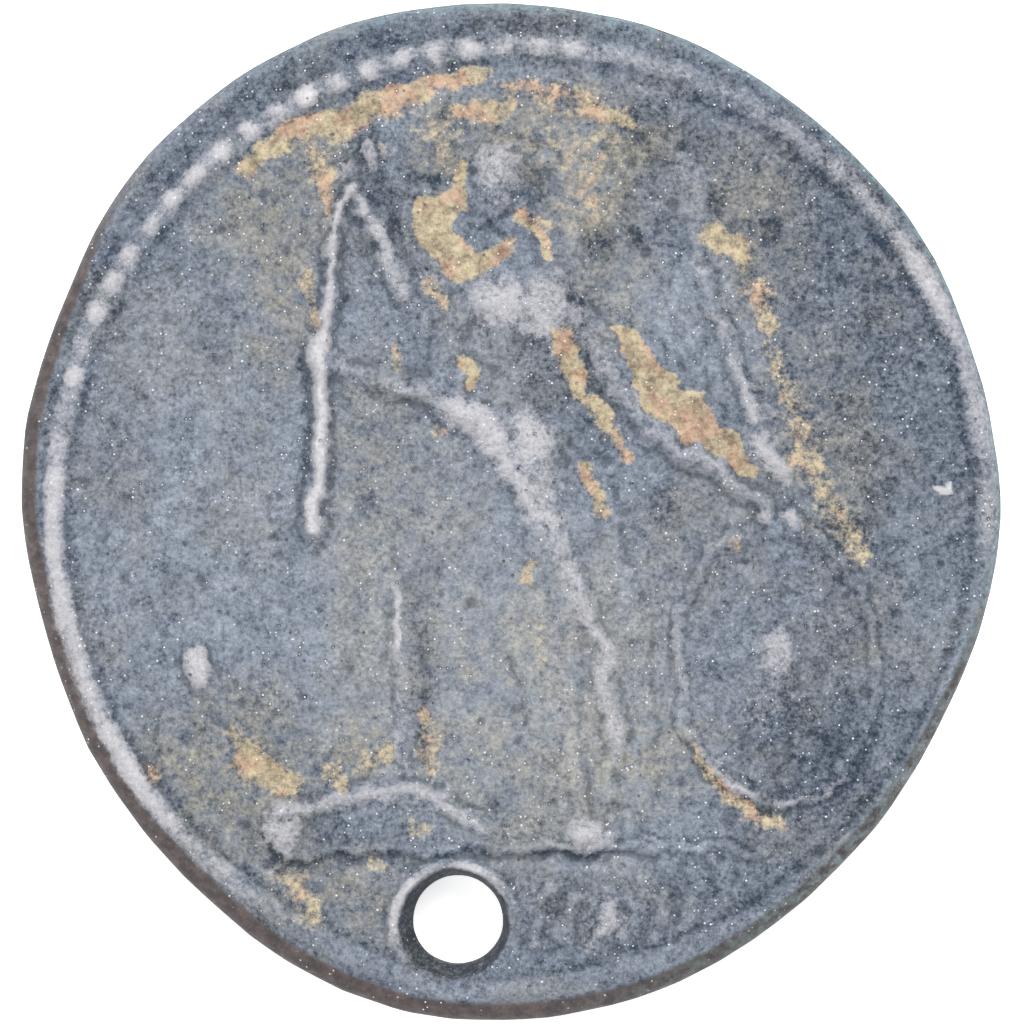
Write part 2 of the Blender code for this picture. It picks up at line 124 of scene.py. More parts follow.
REVERSE_DOMES = (
    # head, face, roll of hair, knot of hair and neck
    ((-2.4, 72.5), 7.6, 8.6, -6, 0.84),
    ((-6.4, 68.0), 4.4, 6.0, -4, 0.80),
    ((-10.6, 69.4), 1.6, 2.6, 16, 0.44),
    ((-8.2, 63.2), 2.6, 2.0, 0, 0.56),
    ((5.4, 74.5), 3.9, 3.6, 20, 0.74),
    ((-2.2, 58.0), 4.2, 8.0, 10, 0.58),
    # chest, belly and hip
    ((-5.0, 45.5), 7.0, 7.0, 0, 0.98),
    ((4.4, 46.0), 6.6, 6.6, 0, 0.92),
    ((1.0, 31.0), 6.0, 10.0, 4, 0.74),
    ((4.0, 13.5), 7.6, 10.6, -6, 0.92),
    # hand on the spear, and hand on the shield
    ((-41.6, 30.5), 3.4, 4.2, -10, 0.96),
    ((52.0, -1.5), 3.0, 2.8, -8, 0.70),
    ((57.4, -2.2), 2.8, 2.6, -8, 0.66),
    # knee, the foot on the prow and the standing foot
    ((-19.8, -6.0), 6.6, 6.0, 40, 0.66),
    ((-27.0, -56.6), 5.6, 3.2, 12, 0.62),
    ((13.6, -67.8), 5.0, 3.6, 0, 0.84),
    # shield, its boss, the prow's ram and the knob of its stem
    (SHIELD_MIDDLE, SHIELD_SIZE[0], SHIELD_SIZE[1], 0, 0.54),
    ((55.2, -30.4), 5.4, 9.2, -4, 0.78),
    ((-50.8, -68.4), 5.6, 6.0, 0, 0.86),
    ((-68.8, -34.0), 3.8, 4.0, 0, 0.72),
    # beads at the head of the spear
    ((-36.3, 72.8), 2.4, 2.4, 0, 0.62),
    ((-32.4, 76.6), 2.4, 2.6, 0, 0.60),
)

REVERSE_RIDGES = (
    # spear
    (((-35.4, 69.5), (-39, 61.5), (-40.8, 50), (-42.3, 38.5), (-43, 28), (-43.4, 12), (-44.8, -3.6)),
     2.2, 3.4, 0.86),
    # front edges of the two wings
    (((-35, 67.5), (-32.2, 62), (-28.6, 55.5), (-24.6, 46.5)), 2.8, 3.2, 0.60),
    (((34, 76), (38.6, 64), (43, 53), (47.6, 41), (52, 29), (58, 8)), 4.2, 4.0, 0.62),
    (((28, 83), (33, 74), (36.2, 64), (38.6, 53.5), (42.4, 42), (46.6, 30.5), (51.4, 20), (56.6, 8)),
     4.0, 3.8, 0.66),
    # feathers
    (((25, 72), (29, 58), (34, 44), (41, 30), (52, 13)), 3.4, 3.2, 0.50),
    (((20, 63), (24, 52), (30, 40), (39, 28)), 3.2, 3.0, 0.46),
    (((-27.5, 77), (-26, 66), (-22.5, 55), (-19, 47)), 3.0, 3.0, 0.46),
    # arm that holds the spear
    (((-10.0, 48), (-14.5, 38), (-15.8, 27)), 5.2, 4.4, 0.66),
    (((-15.6, 26), (-25.5, 26.8), (-40.6, 30)), 4.2, 3.0, 0.62),
    # arm that rests on the shield
    (((7.5, 49), (11, 43), (15.5, 35.5), (19.8, 27.4), (24.2, 21.2), (29.4, 16.8), (36.6, 12), (43.4, 8.6),
      (52, 0.6)), 5.2, 3.2, 0.76),
    # folds of the cloak round the hips and down between the legs
    (((-27, 28), (-17, 24), (-7.5, 18.5), (-2.5, 9.5), (3, 0), (6, -11)), 4.6, 4.8, 0.84),
    (((10, 18), (6, 9), (1.5, 2)), 5.0, 4.0, 0.82),
    (((5.4, 2), (9, -12), (15, -24), (18.6, -33), (20, -46), (17.5, -61)), 4.8, 4.0, 0.78),
    (((7, -11), (11, -27), (10.4, -45), (12.4, -66)), 4.0, 3.8, 0.62),
    (((17, 9), (20.4, -10), (25, -32), (26, -50)), 3.4, 3.4, 0.46),
    (((-10.6, 3), (-6.4, -12), (0, -27), (4.4, -45)), 3.4, 3.0, 0.42),
    # leg that stands on the prow
    (((-2.5, 11.5), (-11, 4), (-19.4, -5)), 9.0, 7.6, 0.62),
    (((-20.2, -6), (-23.8, -18), (-24.4, -36), (-23.4, -55)), 5.6, 3.6, 0.64),
    # stem of the prow, its gunwale, and the line that everything stands on
    (((-68, -35.4), (-60, -43.4), (-49.2, -52), (-40.4, -59.6)), 3.8, 5.4, 0.56),
    (((-54, -65.4), (-44, -62.6), (-34.4, -60.8), (-27.4, -60.0), (-20.5, -60.8), (-13.5, -64.6),
      (-8.6, -69.6)), 3.8, 3.2, 0.76),
    (((-8, -72), (8.5, -71.6), (28, -71.4), (52, -72.6)), 2.0, 1.6, 0.34),
)

REVERSE_GROOVES = (
    # under the prow and the ground line
    (((-53, -75.8), (-34, -75.4), (-8, -74.8), (8, -74.2), (28, -73.8)), 2.2, 1.6, 0.18),
)

# Worn marks stand where the legends were: they are strokes, not letters.
MARK_HEIGHT = 0.34
MARK_WIDTH = 2.2
# Below the ground line: how far across each stroke is and how tall.
EXERGUE_LEVEL = -87.0
EXERGUE_LEAN = 2.4
EXERGUE_MARKS = ((3.5, 12.0), (9.5, 8.0), (16.5, 11.0), (22.0, 7.0), (28.0, 10.0), (34.5, 7.0))
# Beside the bust: first and last direction in degrees, and how many strokes.
LEGEND_RADIUS = 84.0
LEGEND_MARK_LENGTH = 11.0
LEGEND_MARK_HEIGHT = 0.62
LEGEND_ROWS = ((208.0, 124.0, 12), (56.0, -24.0, 12))

OBVERSE_PLATES = (
    # shoulders and cloak
    (((-36, -55), (-31, -40), (-15, -31), (8, -27), (30, -32), (44, -50), (24, -68), (-10, -72)), 8.0, 0.44),
)

OBVERSE_DOMES = (
    # helmet, face, nose, chin and neck
    ((4.5, 33.0), 21.0, 18.0, 8, 0.86),
    ((-4.0, 14.0), 15.0, 21.0, -8, 0.78),
    ((-19.0, 14.0), 3.4, 5.2, 20, 0.56),
    ((-12.5, -1.6), 6.0, 5.4, 0, 0.62),
    ((5.0, -12.0), 14.0, 26.0, 6, 1.08),
    # shoulder and its brooch
    ((6.0, -46.0), 32.0, 19.0, -4, 0.84),
    ((20.0, -38.0), 4.6, 4.6, 0, 0.92),
)

OBVERSE_RIDGES = (
    # crest of the helmet, its brim and its neck guard
    (((-20, 43), (-9, 56), (10, 60), (26, 51), (34, 33), (33, 13)), 6.4, 7.0, 0.72),
    (((-20, 23), (-10, 28.5), (5, 26.5), (19, 18)), 3.8, 3.8, 0.94),
    (((19, 18), (22, 8), (29, -1)), 4.8, 3.6, 0.74),
    # staff behind the shoulder
    (((31, -38), (42, -12), (52, 17)), 3.4, 3.0, 0.58),
    # folds of the cloak
    (((-27, -43), (-15, -54), (2, -61), (22, -62)), 4.0, 3.6, 0.80),
    (((-14, -34), (-4, -47), (14, -54), (33, -53)), 4.0, 3.6, 0.90),
)


def outline_radius(angle):
    """Distance from the flan's own middle to its edge, in a direction in radians."""
    swell = sum(share * np.cos(count * (angle - math.radians(peak))) for count, share, peak in FLAN_LOBES)
    return FLAN_DIAMETER / 2 * (1 + swell)


def flan_middle():
    """Middle of the outline's box, seen from the middle that the outline is drawn round."""
    angle = np.linspace(0, 2 * math.pi, 720, endpoint=False)
    radius = outline_radius(angle)
    x, y = radius * np.cos(angle), radius * np.sin(angle)
    return (x.max() + x.min()) / 2, (y.max() + y.min()) / 2


def hole_middle():
    """Where the piercing is, seen from the middle of the flan's box."""
    angle = math.radians(HOLE_DIRECTION)
    reach = outline_radius(angle) - HOLE_TO_EDGE - HOLE_DIAMETER / 2
    shift = flan_middle()
    return reach * math.cos(angle) - shift[0], reach * math.sin(angle) - shift[1]


def smooth_line(points, pieces=6):
    """Points along a smooth curve through the given ones."""
    p = np.array(points, float)
    p = np.vstack([2 * p[0] - p[1], p, 2 * p[-1] - p[-2]])
    t = np.linspace(0, 1, pieces, endpoint=False)[:, None]
    runs = []
    for a, b, c, d in zip(p[:-3], p[1:-2], p[2:-1], p[3:]):
        runs.append(0.5 * (2 * b + (c - a) * t + (2 * a - 5 * b + 4 * c - d) * t**2
                           + (3 * b - a - 3 * c + d) * t**3))
    return np.vstack(runs + [p[-2:-1]])


def line_reach(x, y, line):
    """Distance from each point to a line of points, and how far along the line its nearest place is."""
    lengths = np.linalg.norm(np.diff(line, axis=0), axis=1)
    before = np.concatenate([[0.0], np.cumsum(lengths)])
    nearest = np.full(x.shape, np.inf)
    along = np.zeros(x.shape)
    for i, (start, end) in enumerate(zip(line[:-1], line[1:])):
        run = end - start
        t = np.clip(((x - start[0]) * run[0] + (y - start[1]) * run[1]) / (run @ run), 0, 1)
        distance = np.hypot(x - start[0] - t * run[0], y - start[1] - t * run[1])
        closer = distance < nearest
        nearest = np.where(closer, distance, nearest)
        along = np.where(closer, (before[i] + t * lengths[i]) / before[-1], along)
    return nearest, along


def close_to(x, y, line, reach):
    """Which points are in the line's box, widened by a reach."""
    low, high = line.min(axis=0) - reach, line.max(axis=0) + reach
    return (x > low[0]) & (x < high[0]) & (y > low[1]) & (y < high[1])


def ridge_height(x, y, ridge):
    points, start_width, end_width, height = ridge
    line = smooth_line(points)
    near = close_to(x, y, line, max(start_width, end_width))
    distance, along = line_reach(x[near], y[near], line)
    width = start_width + (end_width - start_width) * along
    raised = np.zeros(x.shape)
    raised[near] = height * np.clip(1 - (distance / width) ** 2, 0, 1) ** 1.5
    return raised


def dome_height(x, y, dome):
    (cx, cy), half_width, half_height, turn, height = dome
    c, s = math.cos(math.radians(turn)), math.sin(math.radians(turn))
    across, up = (x - cx) * c + (y - cy) * s, (y - cy) * c - (x - cx) * s
    reach = (across / half_width) ** 2 + (up / half_height) ** 2
    return height * np.clip(1 - reach, 0, 1) ** 0.8


def plate_height(x, y, plate):
    corners, softness, height = plate
    line = smooth_line(corners + corners[:1], 3)
    near = close_to(x, y, line, softness)
    px, py = x[near], y[near]
    distance, _ = line_reach(px, py, line)
    inside = np.zeros(px.shape, bool)
    for (ax, ay), (bx, by) in zip(line[:-1], line[1:]):
        crosses = (ay > py) != (by > py)
        rise = by - ay if by != ay else 1.0
        inside ^= crosses & (px < ax + (bx - ax) * (py - ay) / rise)
    step = np.clip(0.5 + np.where(inside, distance, -distance) / softness, 0, 1)
    raised = np.zeros(x.shape)
    raised[near] = height * step * step * (3 - 2 * step)
    return raised


def exergue_strokes():
    """The worn strokes below the ground line, as ridges."""
    strokes = []
    for across, tall in EXERGUE_MARKS:
        ends = ((across, EXERGUE_LEVEL - tall / 2), (across + EXERGUE_LEAN, EXERGUE_LEVEL + tall / 2))
        strokes.append((ends, MARK_WIDTH, MARK_WIDTH, MARK_HEIGHT))
    return tuple(strokes)


def legend_strokes():
    """Worn strokes along both sides of the bust, each pointing at the middle."""
    strokes = []
    for first, last, count in LEGEND_ROWS:
        for direction in np.radians(np.linspace(first, last, count)):
            ends = [((LEGEND_RADIUS + end * LEGEND_MARK_LENGTH / 2) * math.cos(direction),
                     (LEGEND_RADIUS + end * LEGEND_MARK_LENGTH / 2) * math.sin(direction)) for end in (-1, 1)]
            strokes.append((ends, MARK_WIDTH, MARK_WIDTH, LEGEND_MARK_HEIGHT))
    return tuple(strokes)


def shield_rim(x, y):
    """Beaded rim of the shield."""
    across, up = (x - SHIELD_MIDDLE[0]) / SHIELD_SIZE[0], (y - SHIELD_MIDDLE[1]) / SHIELD_SIZE[1]
    reach, angle = np.hypot(across, up), np.arctan2(up, across)
    beads = 1 - 0.3 * np.sin(angle * SHIELD_BEADS / 2) ** 2
    return 0.46 * beads * np.clip(1 - ((reach - 0.96) / 0.08) ** 2, 0, 1)


def blended(heights):
    """The highest of several heights, with soft joins where two are alike."""
    return sum(h**4 for h in heights) ** 0.25


def reverse_design(x, y):
    heights = [plate_height(x, y, p) for p in REVERSE_PLATES]
    heights += [dome_height(x, y, d) for d in REVERSE_DOMES]
    heights += [ridge_height(x, y, r) for r in REVERSE_RIDGES + exergue_strokes()]
    heights.append(shield_rim(x, y))
    return blended(heights) - sum(ridge_height(x, y, g) for g in REVERSE_GROOVES)


def obverse_design(x, y):
    heights = [plate_height(x, y, p) for p in OBVERSE_PLATES]
    heights += [dome_height(x, y, d) for d in OBVERSE_DOMES]
    heights += [ridge_height(x, y, r) for r in OBVERSE_RIDGES + legend_strokes()]
    return blended(heights)


def border_radius(angle):
    """Distance from a design's middle to its border, in a direction in radians."""
    away = (np.degrees(angle) - HOLE_DIRECTION + 180) % 360 - 180
    return BORDER_RADIUS + BORDER_PUSH * np.exp(-((away / BORDER_PUSH_SPREAD) ** 2))


def border_height(x, y, shift, height):
    """Raised ring of worn beads round a design."""
    dx, dy = x - shift[0], y - shift[1]
    across = (np.hypot(dx, dy) - border_radius(np.arctan2(dy, dx))) / (BORDER_WIDTH / 2)
    beads = 1 - BEAD_DEPTH * np.sin(np.arctan2(dy, dx) * BEADS / 2) ** 2
    return height * beads * np.clip(1 - across**2, 0, 1)


def edge_width(angle):
    """Width of the rounded edge, which splays where the flan was hammered thin."""
    return EDGE_WIDTH * (1 + EDGE_SPLAY * np.cos(angle - math.radians(EDGE_SPLAY_DIRECTION)))


def edge_drop(to_edge, angle):
    """How far the face has fallen at a distance from the flan's edge."""
    inward = np.clip(1 - to_edge / edge_width(angle), 0, 1)
    return EDGE_DROP * (1 - np.sqrt(1 - inward**2))


def obverse_height(x, y, to_edge, angle):
    """Height of the lower face, worn flat where the coin lies on it."""
    u, v = (x - OBVERSE_SHIFT[0]) / BORDER_RADIUS * 100, -(y - OBVERSE_SHIFT[1]) / BORDER_RADIUS * 100
    within = np.hypot(u, v) < DESIGN_REACH
    design = np.where(within, obverse_design(u, v), 0.0) * OBVERSE_RELIEF
    border = border_height(x, y, OBVERSE_SHIFT, OBVERSE_BORDER_HEIGHT)
    return np.maximum(OBVERSE_FIELD_DEPTH - design - border, 0) + edge_drop(to_edge, angle)


# How fine the mesh is.
TOP_SPACING = 0.066 * MM
UNDER_SPACING = 0.125 * MM
ROUND = 720
HOLE_ROUND = 112
# Rings that follow the rounded edge and the lip of the hole: how far in from the edge each one is.
EDGE_RINGS = (0.010 * MM, 0.035 * MM, 0.075 * MM, 0.125 * MM, 0.185 * MM)
LIP_RINGS = (0.025 * MM, 0.055 * MM)
WALL_ROWS = 5
FLARE_ROWS = 5
THROAT_ROWS = 4
# The throat of the hole is a little off the middle of its countersink.
THROAT_SHIFT = (0.07 * MM, 0.05 * MM)
LIP_RADIUS = 0.97 * MM
THROAT_LEVEL = 0.55
# How far, in hundredths of the border's radius, corrosion has moved the outlines of the design.
WARP = 4.0
FINE_WARP = 1.3
# Wear of the fine mesh. The edge stays a hair inside the solid's.
EDGE_WEAR = 0.005 * MM
NICK_DEPTH = 0.08 * MM
WALL_DENT = 0.05 * MM
WALL_RADIUS = 8.7 * MM
BORDER_WANDER = 0.07 * MM
WAVE_HEIGHT = 0.030 * MM
GRAIN_HEIGHT = 0.050 * MM
UNDER_GRAIN_HEIGHT = 0.022 * MM
PITS = 420
PIT_RADIUS = 0.15 * MM
PIT_DEPTH = 0.045 * MM
PITTED_RADIUS = 8.4 * MM
# How far out the designs reach, in hundredths of the border's radius.
DESIGN_REACH = 97


def random_lattice(x, y, cell, seed):
    """Smooth random heights, from 0 to 1, whose bumps are about as wide as a cell."""
    size = 512
    values = np.random.default_rng(seed).random((size, size))
    gx, gy = x / cell + size / 2, y / cell + size / 2
    ix, iy = np.floor(gx).astype(int), np.floor(gy).astype(int)
    tx, ty = gx - ix, gy - iy
    tx, ty = tx * tx * (3 - 2 * tx), ty * ty * (3 - 2 * ty)
    ix, iy = ix % size, iy % size
    jx, jy = (ix + 1) % size, (iy + 1) % size
    low = values[iy, ix] * (1 - tx) + values[iy, jx] * tx
    high = values[jy, ix] * (1 - tx) + values[jy, jx] * tx
    return low * (1 - ty) + high * ty


def roughness_field(x, y, cell, seed, layers=4):
    """Layers of random heights, each half as wide and a little over half as high as the one before."""
    total, weight = np.zeros(x.shape), 0.0
    for layer in range(layers):
        share = 0.6**layer
        total += share * random_lattice(x, y, cell / 2**layer, seed + layer)
        weight += share
    return total / weight


def craters(x, y, count, widest, seed, reach):
    """Depth, from 0 to 1, of many small round pits."""
    rng = np.random.default_rng(seed)
    depth = np.zeros(x.shape)
    for _ in range(count):
        distance, direction = reach * math.sqrt(rng.random()), 2 * math.pi * rng.random()
        cx, cy = distance * math.cos(direction), distance * math.sin(direction)
        radius = widest * (0.35 + 0.65 * rng.random() ** 2)
        near = (abs(x - cx) < radius) & (abs(y - cy) < radius)
        share = np.hypot(x[near] - cx, y[near] - cy) / radius
        depth[near] = np.maximum(depth[near], radius / widest * np.clip(1 - share**2, 0, 1))
    return depth


def arc_share(angle, middle, half_width, softness):
    """1 for directions round a middle one, falling to 0 beyond a half width, all in degrees."""
    away = np.abs((np.degrees(angle) - middle + 180) % 360 - 180)
    return np.clip((half_width + softness - away) / softness, 0, 1)


def worn_radius(angle):
    """Distance from the flan's own middle to its edge, with the small nicks that it has taken."""
    x, y = FLAN_DIAMETER / 2 * np.cos(angle), FLAN_DIAMETER / 2 * np.sin(angle)
    nicks = np.clip(roughness_field(x, y, 0.8 * MM, 95) - 0.3, 0, None)
    return outline_radius(angle) - EDGE_WEAR - NICK_DEPTH * nicks


def in_flan(x, y):
    """Distance in from the flan's edge, and the direction, of points seen from the middle of its box."""
    shift = flan_middle()
    angle = np.arctan2(y + shift[1], x + shift[0])
    return worn_radius(angle) - np.hypot(x + shift[0], y + shift[1]), angle


def die_units(x, y, shift, flip=1):
    return (x - shift[0]) / BORDER_RADIUS * 100, flip * (y - shift[1]) / BORDER_RADIUS * 100


def corroded(x, y):
    """Places on the reverse's die, moved about as corrosion has moved its outlines."""
    u, v = die_units(x, y, REVERSE_SHIFT)
    u = u + WARP * (roughness_field(x, y, 0.6 * MM, 12, 2) - 0.5)
    v = v + WARP * (roughness_field(x, y, 0.6 * MM, 15, 2) - 0.5)
    u = u + FINE_WARP * (random_lattice(x, y, 0.15 * MM, 18) - 0.5)
    v = v + FINE_WARP * (random_lattice(x, y, 0.15 * MM, 19) - 0.5)
    return u, v


def worn_border(x, y):
    """The reverse's border: beads to the upper left, and elsewhere one worn ridge."""
    dx, dy = x - REVERSE_SHIFT[0], y - REVERSE_SHIFT[1]
    angle = np.arctan2(dy, dx)
    distinct = arc_share(angle, 128, 34, 22)
    wander = BORDER_WANDER * (random_lattice(x, y, 1.8 * MM, 71) - 0.5)
    wander = wander + BORDER_WANDER * (random_lattice(x, y, 0.3 * MM, 73) - 0.5)
    across = (np.hypot(dx, dy) - border_radius(angle) - wander) / (BORDER_WIDTH / 2)
    beads = 1 - BEAD_DEPTH * (0.25 + 1.3 * distinct) * np.sin(angle * BEADS / 2) ** 2
    kept = 0.36 + 0.62 * roughness_field(x, y, 0.7 * MM, 72)
    kept = kept * (1 - 0.45 * arc_share(angle, -10, 75, 50))
    return BORDER_HEIGHT * kept * beads * np.clip(1 - across**2, 0, 1)


def burr(x, y):
    """The ridge round the hole, which is high above it and gone below."""
    hole_x, hole_y = hole_middle()
    dx, dy = x - hole_x, y - hole_y
    angle = np.arctan2(dy, dx)
    high = arc_share(angle, 105, 80, 40) * (0.25 + 0.70 * random_lattice(x, y, 0.28 * MM, 81))
    middle = LIP_RADIUS + 0.08 * MM + 0.06 * MM * random_lattice(x, y, 0.5 * MM, 83)
    return BURR_HEIGHT * high * np.clip(1 - ((np.hypot(dx, dy) - middle) / (0.12 * MM)) ** 2, 0, 1)


def top_height(x, y):
    """Height of the upper face of the fine mesh: the solid's, with its wear, waves, grain and pits."""
    to_edge, angle = in_flan(x, y)
    to_edge = np.clip(to_edge, 0, None)
    u, v = corroded(x, y)
    worn = 0.50 + 0.55 * roughness_field(x, y, 0.9 * MM, 11)
    design = np.where(np.hypot(u, v) < DESIGN_REACH, reverse_design(u, v), 0.0) * RELIEF_HEIGHT * worn
    outside = np.clip(np.hypot(x - REVERSE_SHIFT[0], y - REVERSE_SHIFT[1]) - BORDER_RADIUS, 0, None)
    hole_x, hole_y = hole_middle()
    flat = np.clip((np.hypot(x - hole_x, y - hole_y) - LIP_RADIUS) / BURR_WIDTH, 0, 1)
    level = OBVERSE_FIELD_DEPTH + FIELD_THICKNESS - MARGIN_FALL * outside - edge_drop(to_edge, angle)
    waves = WAVE_HEIGHT * (roughness_field(x, y, 3.2 * MM, 21, 2) - 0.5)
    grain = GRAIN_HEIGHT * (roughness_field(x, y, 0.26 * MM, 31, 3) - 0.5)
    pits = PIT_DEPTH * craters(x, y, PITS, PIT_RADIUS, 41, PITTED_RADIUS)
    inner = np.clip(to_edge / (0.3 * MM), 0.15, 1)
    rims = np.maximum(worn_border(x, y) * flat, burr(x, y))
    return level + design * flat + rims + (waves + grain - pits) * inner


def under_height(x, y):
    """Height of the lower face of the fine mesh. Nothing on it is lower than where the coin rests."""
    to_edge, angle = in_flan(x, y)
    grain = UNDER_GRAIN_HEIGHT * (roughness_field(x, y, 0.5 * MM, 51, 3) - 0.5)
    plain = obverse_height(x, y, np.clip(to_edge, 0, None), angle)
    return np.where(plain > 1e-7, np.maximum(plain + grain, 0), 0)


def scattered(spacing, edge_gap, hole_gap):
    """Points of an even triangular grid over the face, clear of its edge and of the hole."""
    reach = FLAN_DIAMETER * 0.53
    rows = np.arange(-reach, reach, spacing * math.sqrt(3) / 2)
    columns = np.arange(-reach, reach, spacing)
    x, y = np.meshgrid(columns, rows)
    x = x + (np.arange(len(rows)) % 2)[:, None] * spacing / 2
    x, y = x.ravel(), y.ravel()
    hole_x, hole_y = hole_middle()
    keep = (in_flan(x, y)[0] > edge_gap) & (np.hypot(x - hole_x, y - hole_y) > hole_gap)
    return np.column_stack([x[keep], y[keep]])


def edge_ring(inset):
    """Points round the flan, a given distance in from its edge."""
    angle = np.linspace(0, 2 * math.pi, ROUND, endpoint=False)
    shift = flan_middle()
    radius = worn_radius(angle) - inset
    return np.column_stack([radius * np.cos(angle) - shift[0], radius * np.sin(angle) - shift[1]])


def hole_ring(radius, shift=(0, 0), ragged=0.0):
    """Points round the hole."""
    angle = np.linspace(0, 2 * math.pi, HOLE_ROUND, endpoint=False)
    wobble = 0.6 * np.cos(3 * angle + 1) + 0.3 * np.cos(5 * angle) + 0.3 * np.cos(9 * angle + 2)
    radius = radius + ragged * wobble
    x, y = hole_middle()
    return np.column_stack([x + shift[0] + radius * np.cos(angle), y + shift[1] + radius * np.sin(angle)])


def face_mesh(spacing, hole_edge, hole_rings):
    """Triangles over a face, and the numbers of the points on its outer edge and round its hole."""
    outer = edge_ring(0.0)
    fill = [edge_ring(inset) for inset in EDGE_RINGS] + hole_rings
    last_ring = np.hypot(*(hole_rings[-1] - hole_middle()).T).max() if hole_rings else LIP_RADIUS
    fill.append(scattered(spacing, EDGE_RINGS[-1] + spacing * 0.7, last_ring + spacing * 0.6))
    points = np.vstack([outer, hole_edge] + fill)
    loop = [(i, (i + 1) % ROUND) for i in range(ROUND)]
    loop += [(ROUND + i, ROUND + (i + 1) % HOLE_ROUND) for i in range(HOLE_ROUND)]
    made, _, faces, origins, _, _ = delaunay_2d_cdt(
        [Vector(p) for p in points / MM], loop, [], 1, 1e-7, True
    )
    flat = np.array([v[:] for v in made]) * MM
    faces = np.array([f for f in faces if len(f) == 3])
    number = np.full(len(points), -1)
    for i, sources in enumerate(origins):
        number[sources] = i
    middle = flat[faces].mean(axis=1)
    hole_loop = flat[number[ROUND:ROUND + HOLE_ROUND]]
    centre = hole_loop.mean(axis=0)
    direction = np.arctan2(*(middle - centre).T[::-1]) % (2 * math.pi)
    around = np.arctan2(*(hole_loop - centre).T[::-1]) % (2 * math.pi)
    order = np.argsort(around)
    rim = np.interp(direction, around[order], np.hypot(*(hole_loop - centre).T)[order], period=2 * math.pi)
    faces = faces[np.hypot(*(middle - centre).T) > rim * 0.999]
    return flat, faces, number[:ROUND], number[ROUND:ROUND + HOLE_ROUND]


def strip(first, second):
    """Triangles between two rings of point numbers."""
    a, b = np.array(first), np.array(second)
    c, d = np.roll(a, -1), np.roll(b, -1)
    return np.vstack([np.column_stack([a, c, d]), np.column_stack([a, d, b])])


def coin_mesh():
    """The fine mesh of the coin: two faces, the edge between them and the wall of the hole."""
    lip = hole_ring(LIP_RADIUS, (0, 0), 0.02 * MM)
    top_rings = [hole_ring(LIP_RADIUS + gap, (0, 0), 0.02 * MM) for gap in LIP_RINGS]
    foot = hole_ring(HOLE_DIAMETER / 2 + 0.02 * MM, THROAT_SHIFT, 0.006 * MM)
    top_xy, top_faces, top_edge, top_lip = face_mesh(TOP_SPACING, lip, top_rings)
    under_xy, under_faces, under_edge, under_foot = face_mesh(UNDER_SPACING, foot, [])
    top = np.column_stack([top_xy, np.minimum(top_height(*top_xy.T), cad_bounds[1][2])])
    under = np.column_stack([under_xy, under_height(*under_xy.T)])
    points, faces = [top, under], [top_faces, under_faces[:, ::-1] + len(top)]
    count = len(top) + len(under)

    def rows_between(high, low, rings):
        """Strips from a ring of the top, over rings of new points, to a ring of the underside."""
        nonlocal count
        before = high
        for ring in rings:
            numbers = count + np.arange(len(ring))
            points.append(ring)
            faces.append(strip(before, numbers)[:, ::-1])
            count += len(ring)
            before = numbers
        faces.append(strip(before, low)[:, ::-1])

    top_ring, under_ring = top[top_edge], under[under_edge]
    shift = np.array(flan_middle())
    direction = np.arctan2(*(top_ring[:, :2] + shift).T[::-1])
    walls = []
    for share in np.linspace(0, 1, WALL_ROWS + 2)[1:-1]:
        ring = top_ring * (1 - share) + under_ring * share
        along = direction * WALL_RADIUS
        dent = WALL_DENT * roughness_field(along, ring[:, 2] * 2, 0.35 * MM, 61)
        inward = dent * math.sin(math.pi * share)
        ring[:, 0] -= inward * np.cos(direction)
        ring[:, 1] -= inward * np.sin(direction)
        walls.append(ring)
    rows_between(top_edge, under_edge + len(top), walls)

    throat_z = OBVERSE_FIELD_DEPTH + THROAT_LEVEL * FIELD_THICKNESS
    throat_xy = hole_ring(HOLE_DIAMETER / 2, THROAT_SHIFT, 0.004 * MM)
    throat = np.column_stack([throat_xy, np.full(HOLE_ROUND, throat_z)])
    lip_ring, foot_ring = top[top_lip], under[under_foot]
    bore = [lip_ring * (1 - s) + throat * s for s in np.linspace(0, 1, FLARE_ROWS + 1)[1:]]
    bore += [throat * (1 - s) + foot_ring * s for s in np.linspace(0, 1, THROAT_ROWS + 1)[1:-1]]
    rows_between(top_lip[::-1], under_foot[::-1] + len(top), [ring[::-1] for ring in bore])
    return np.vstack(points), np.vstack(faces), len(top)


def painted(u, v, ridges=(), domes=(), plates=()):
    """A mask drawn with the same three kinds of stroke as the designs."""
    heights = [ridge_height(u, v, r) for r in ridges] + [dome_height(u, v, d) for d in domes]
    heights += [plate_height(u, v, p) for p in plates]
    return np.clip(np.max(heights, axis=0), 0, 1)


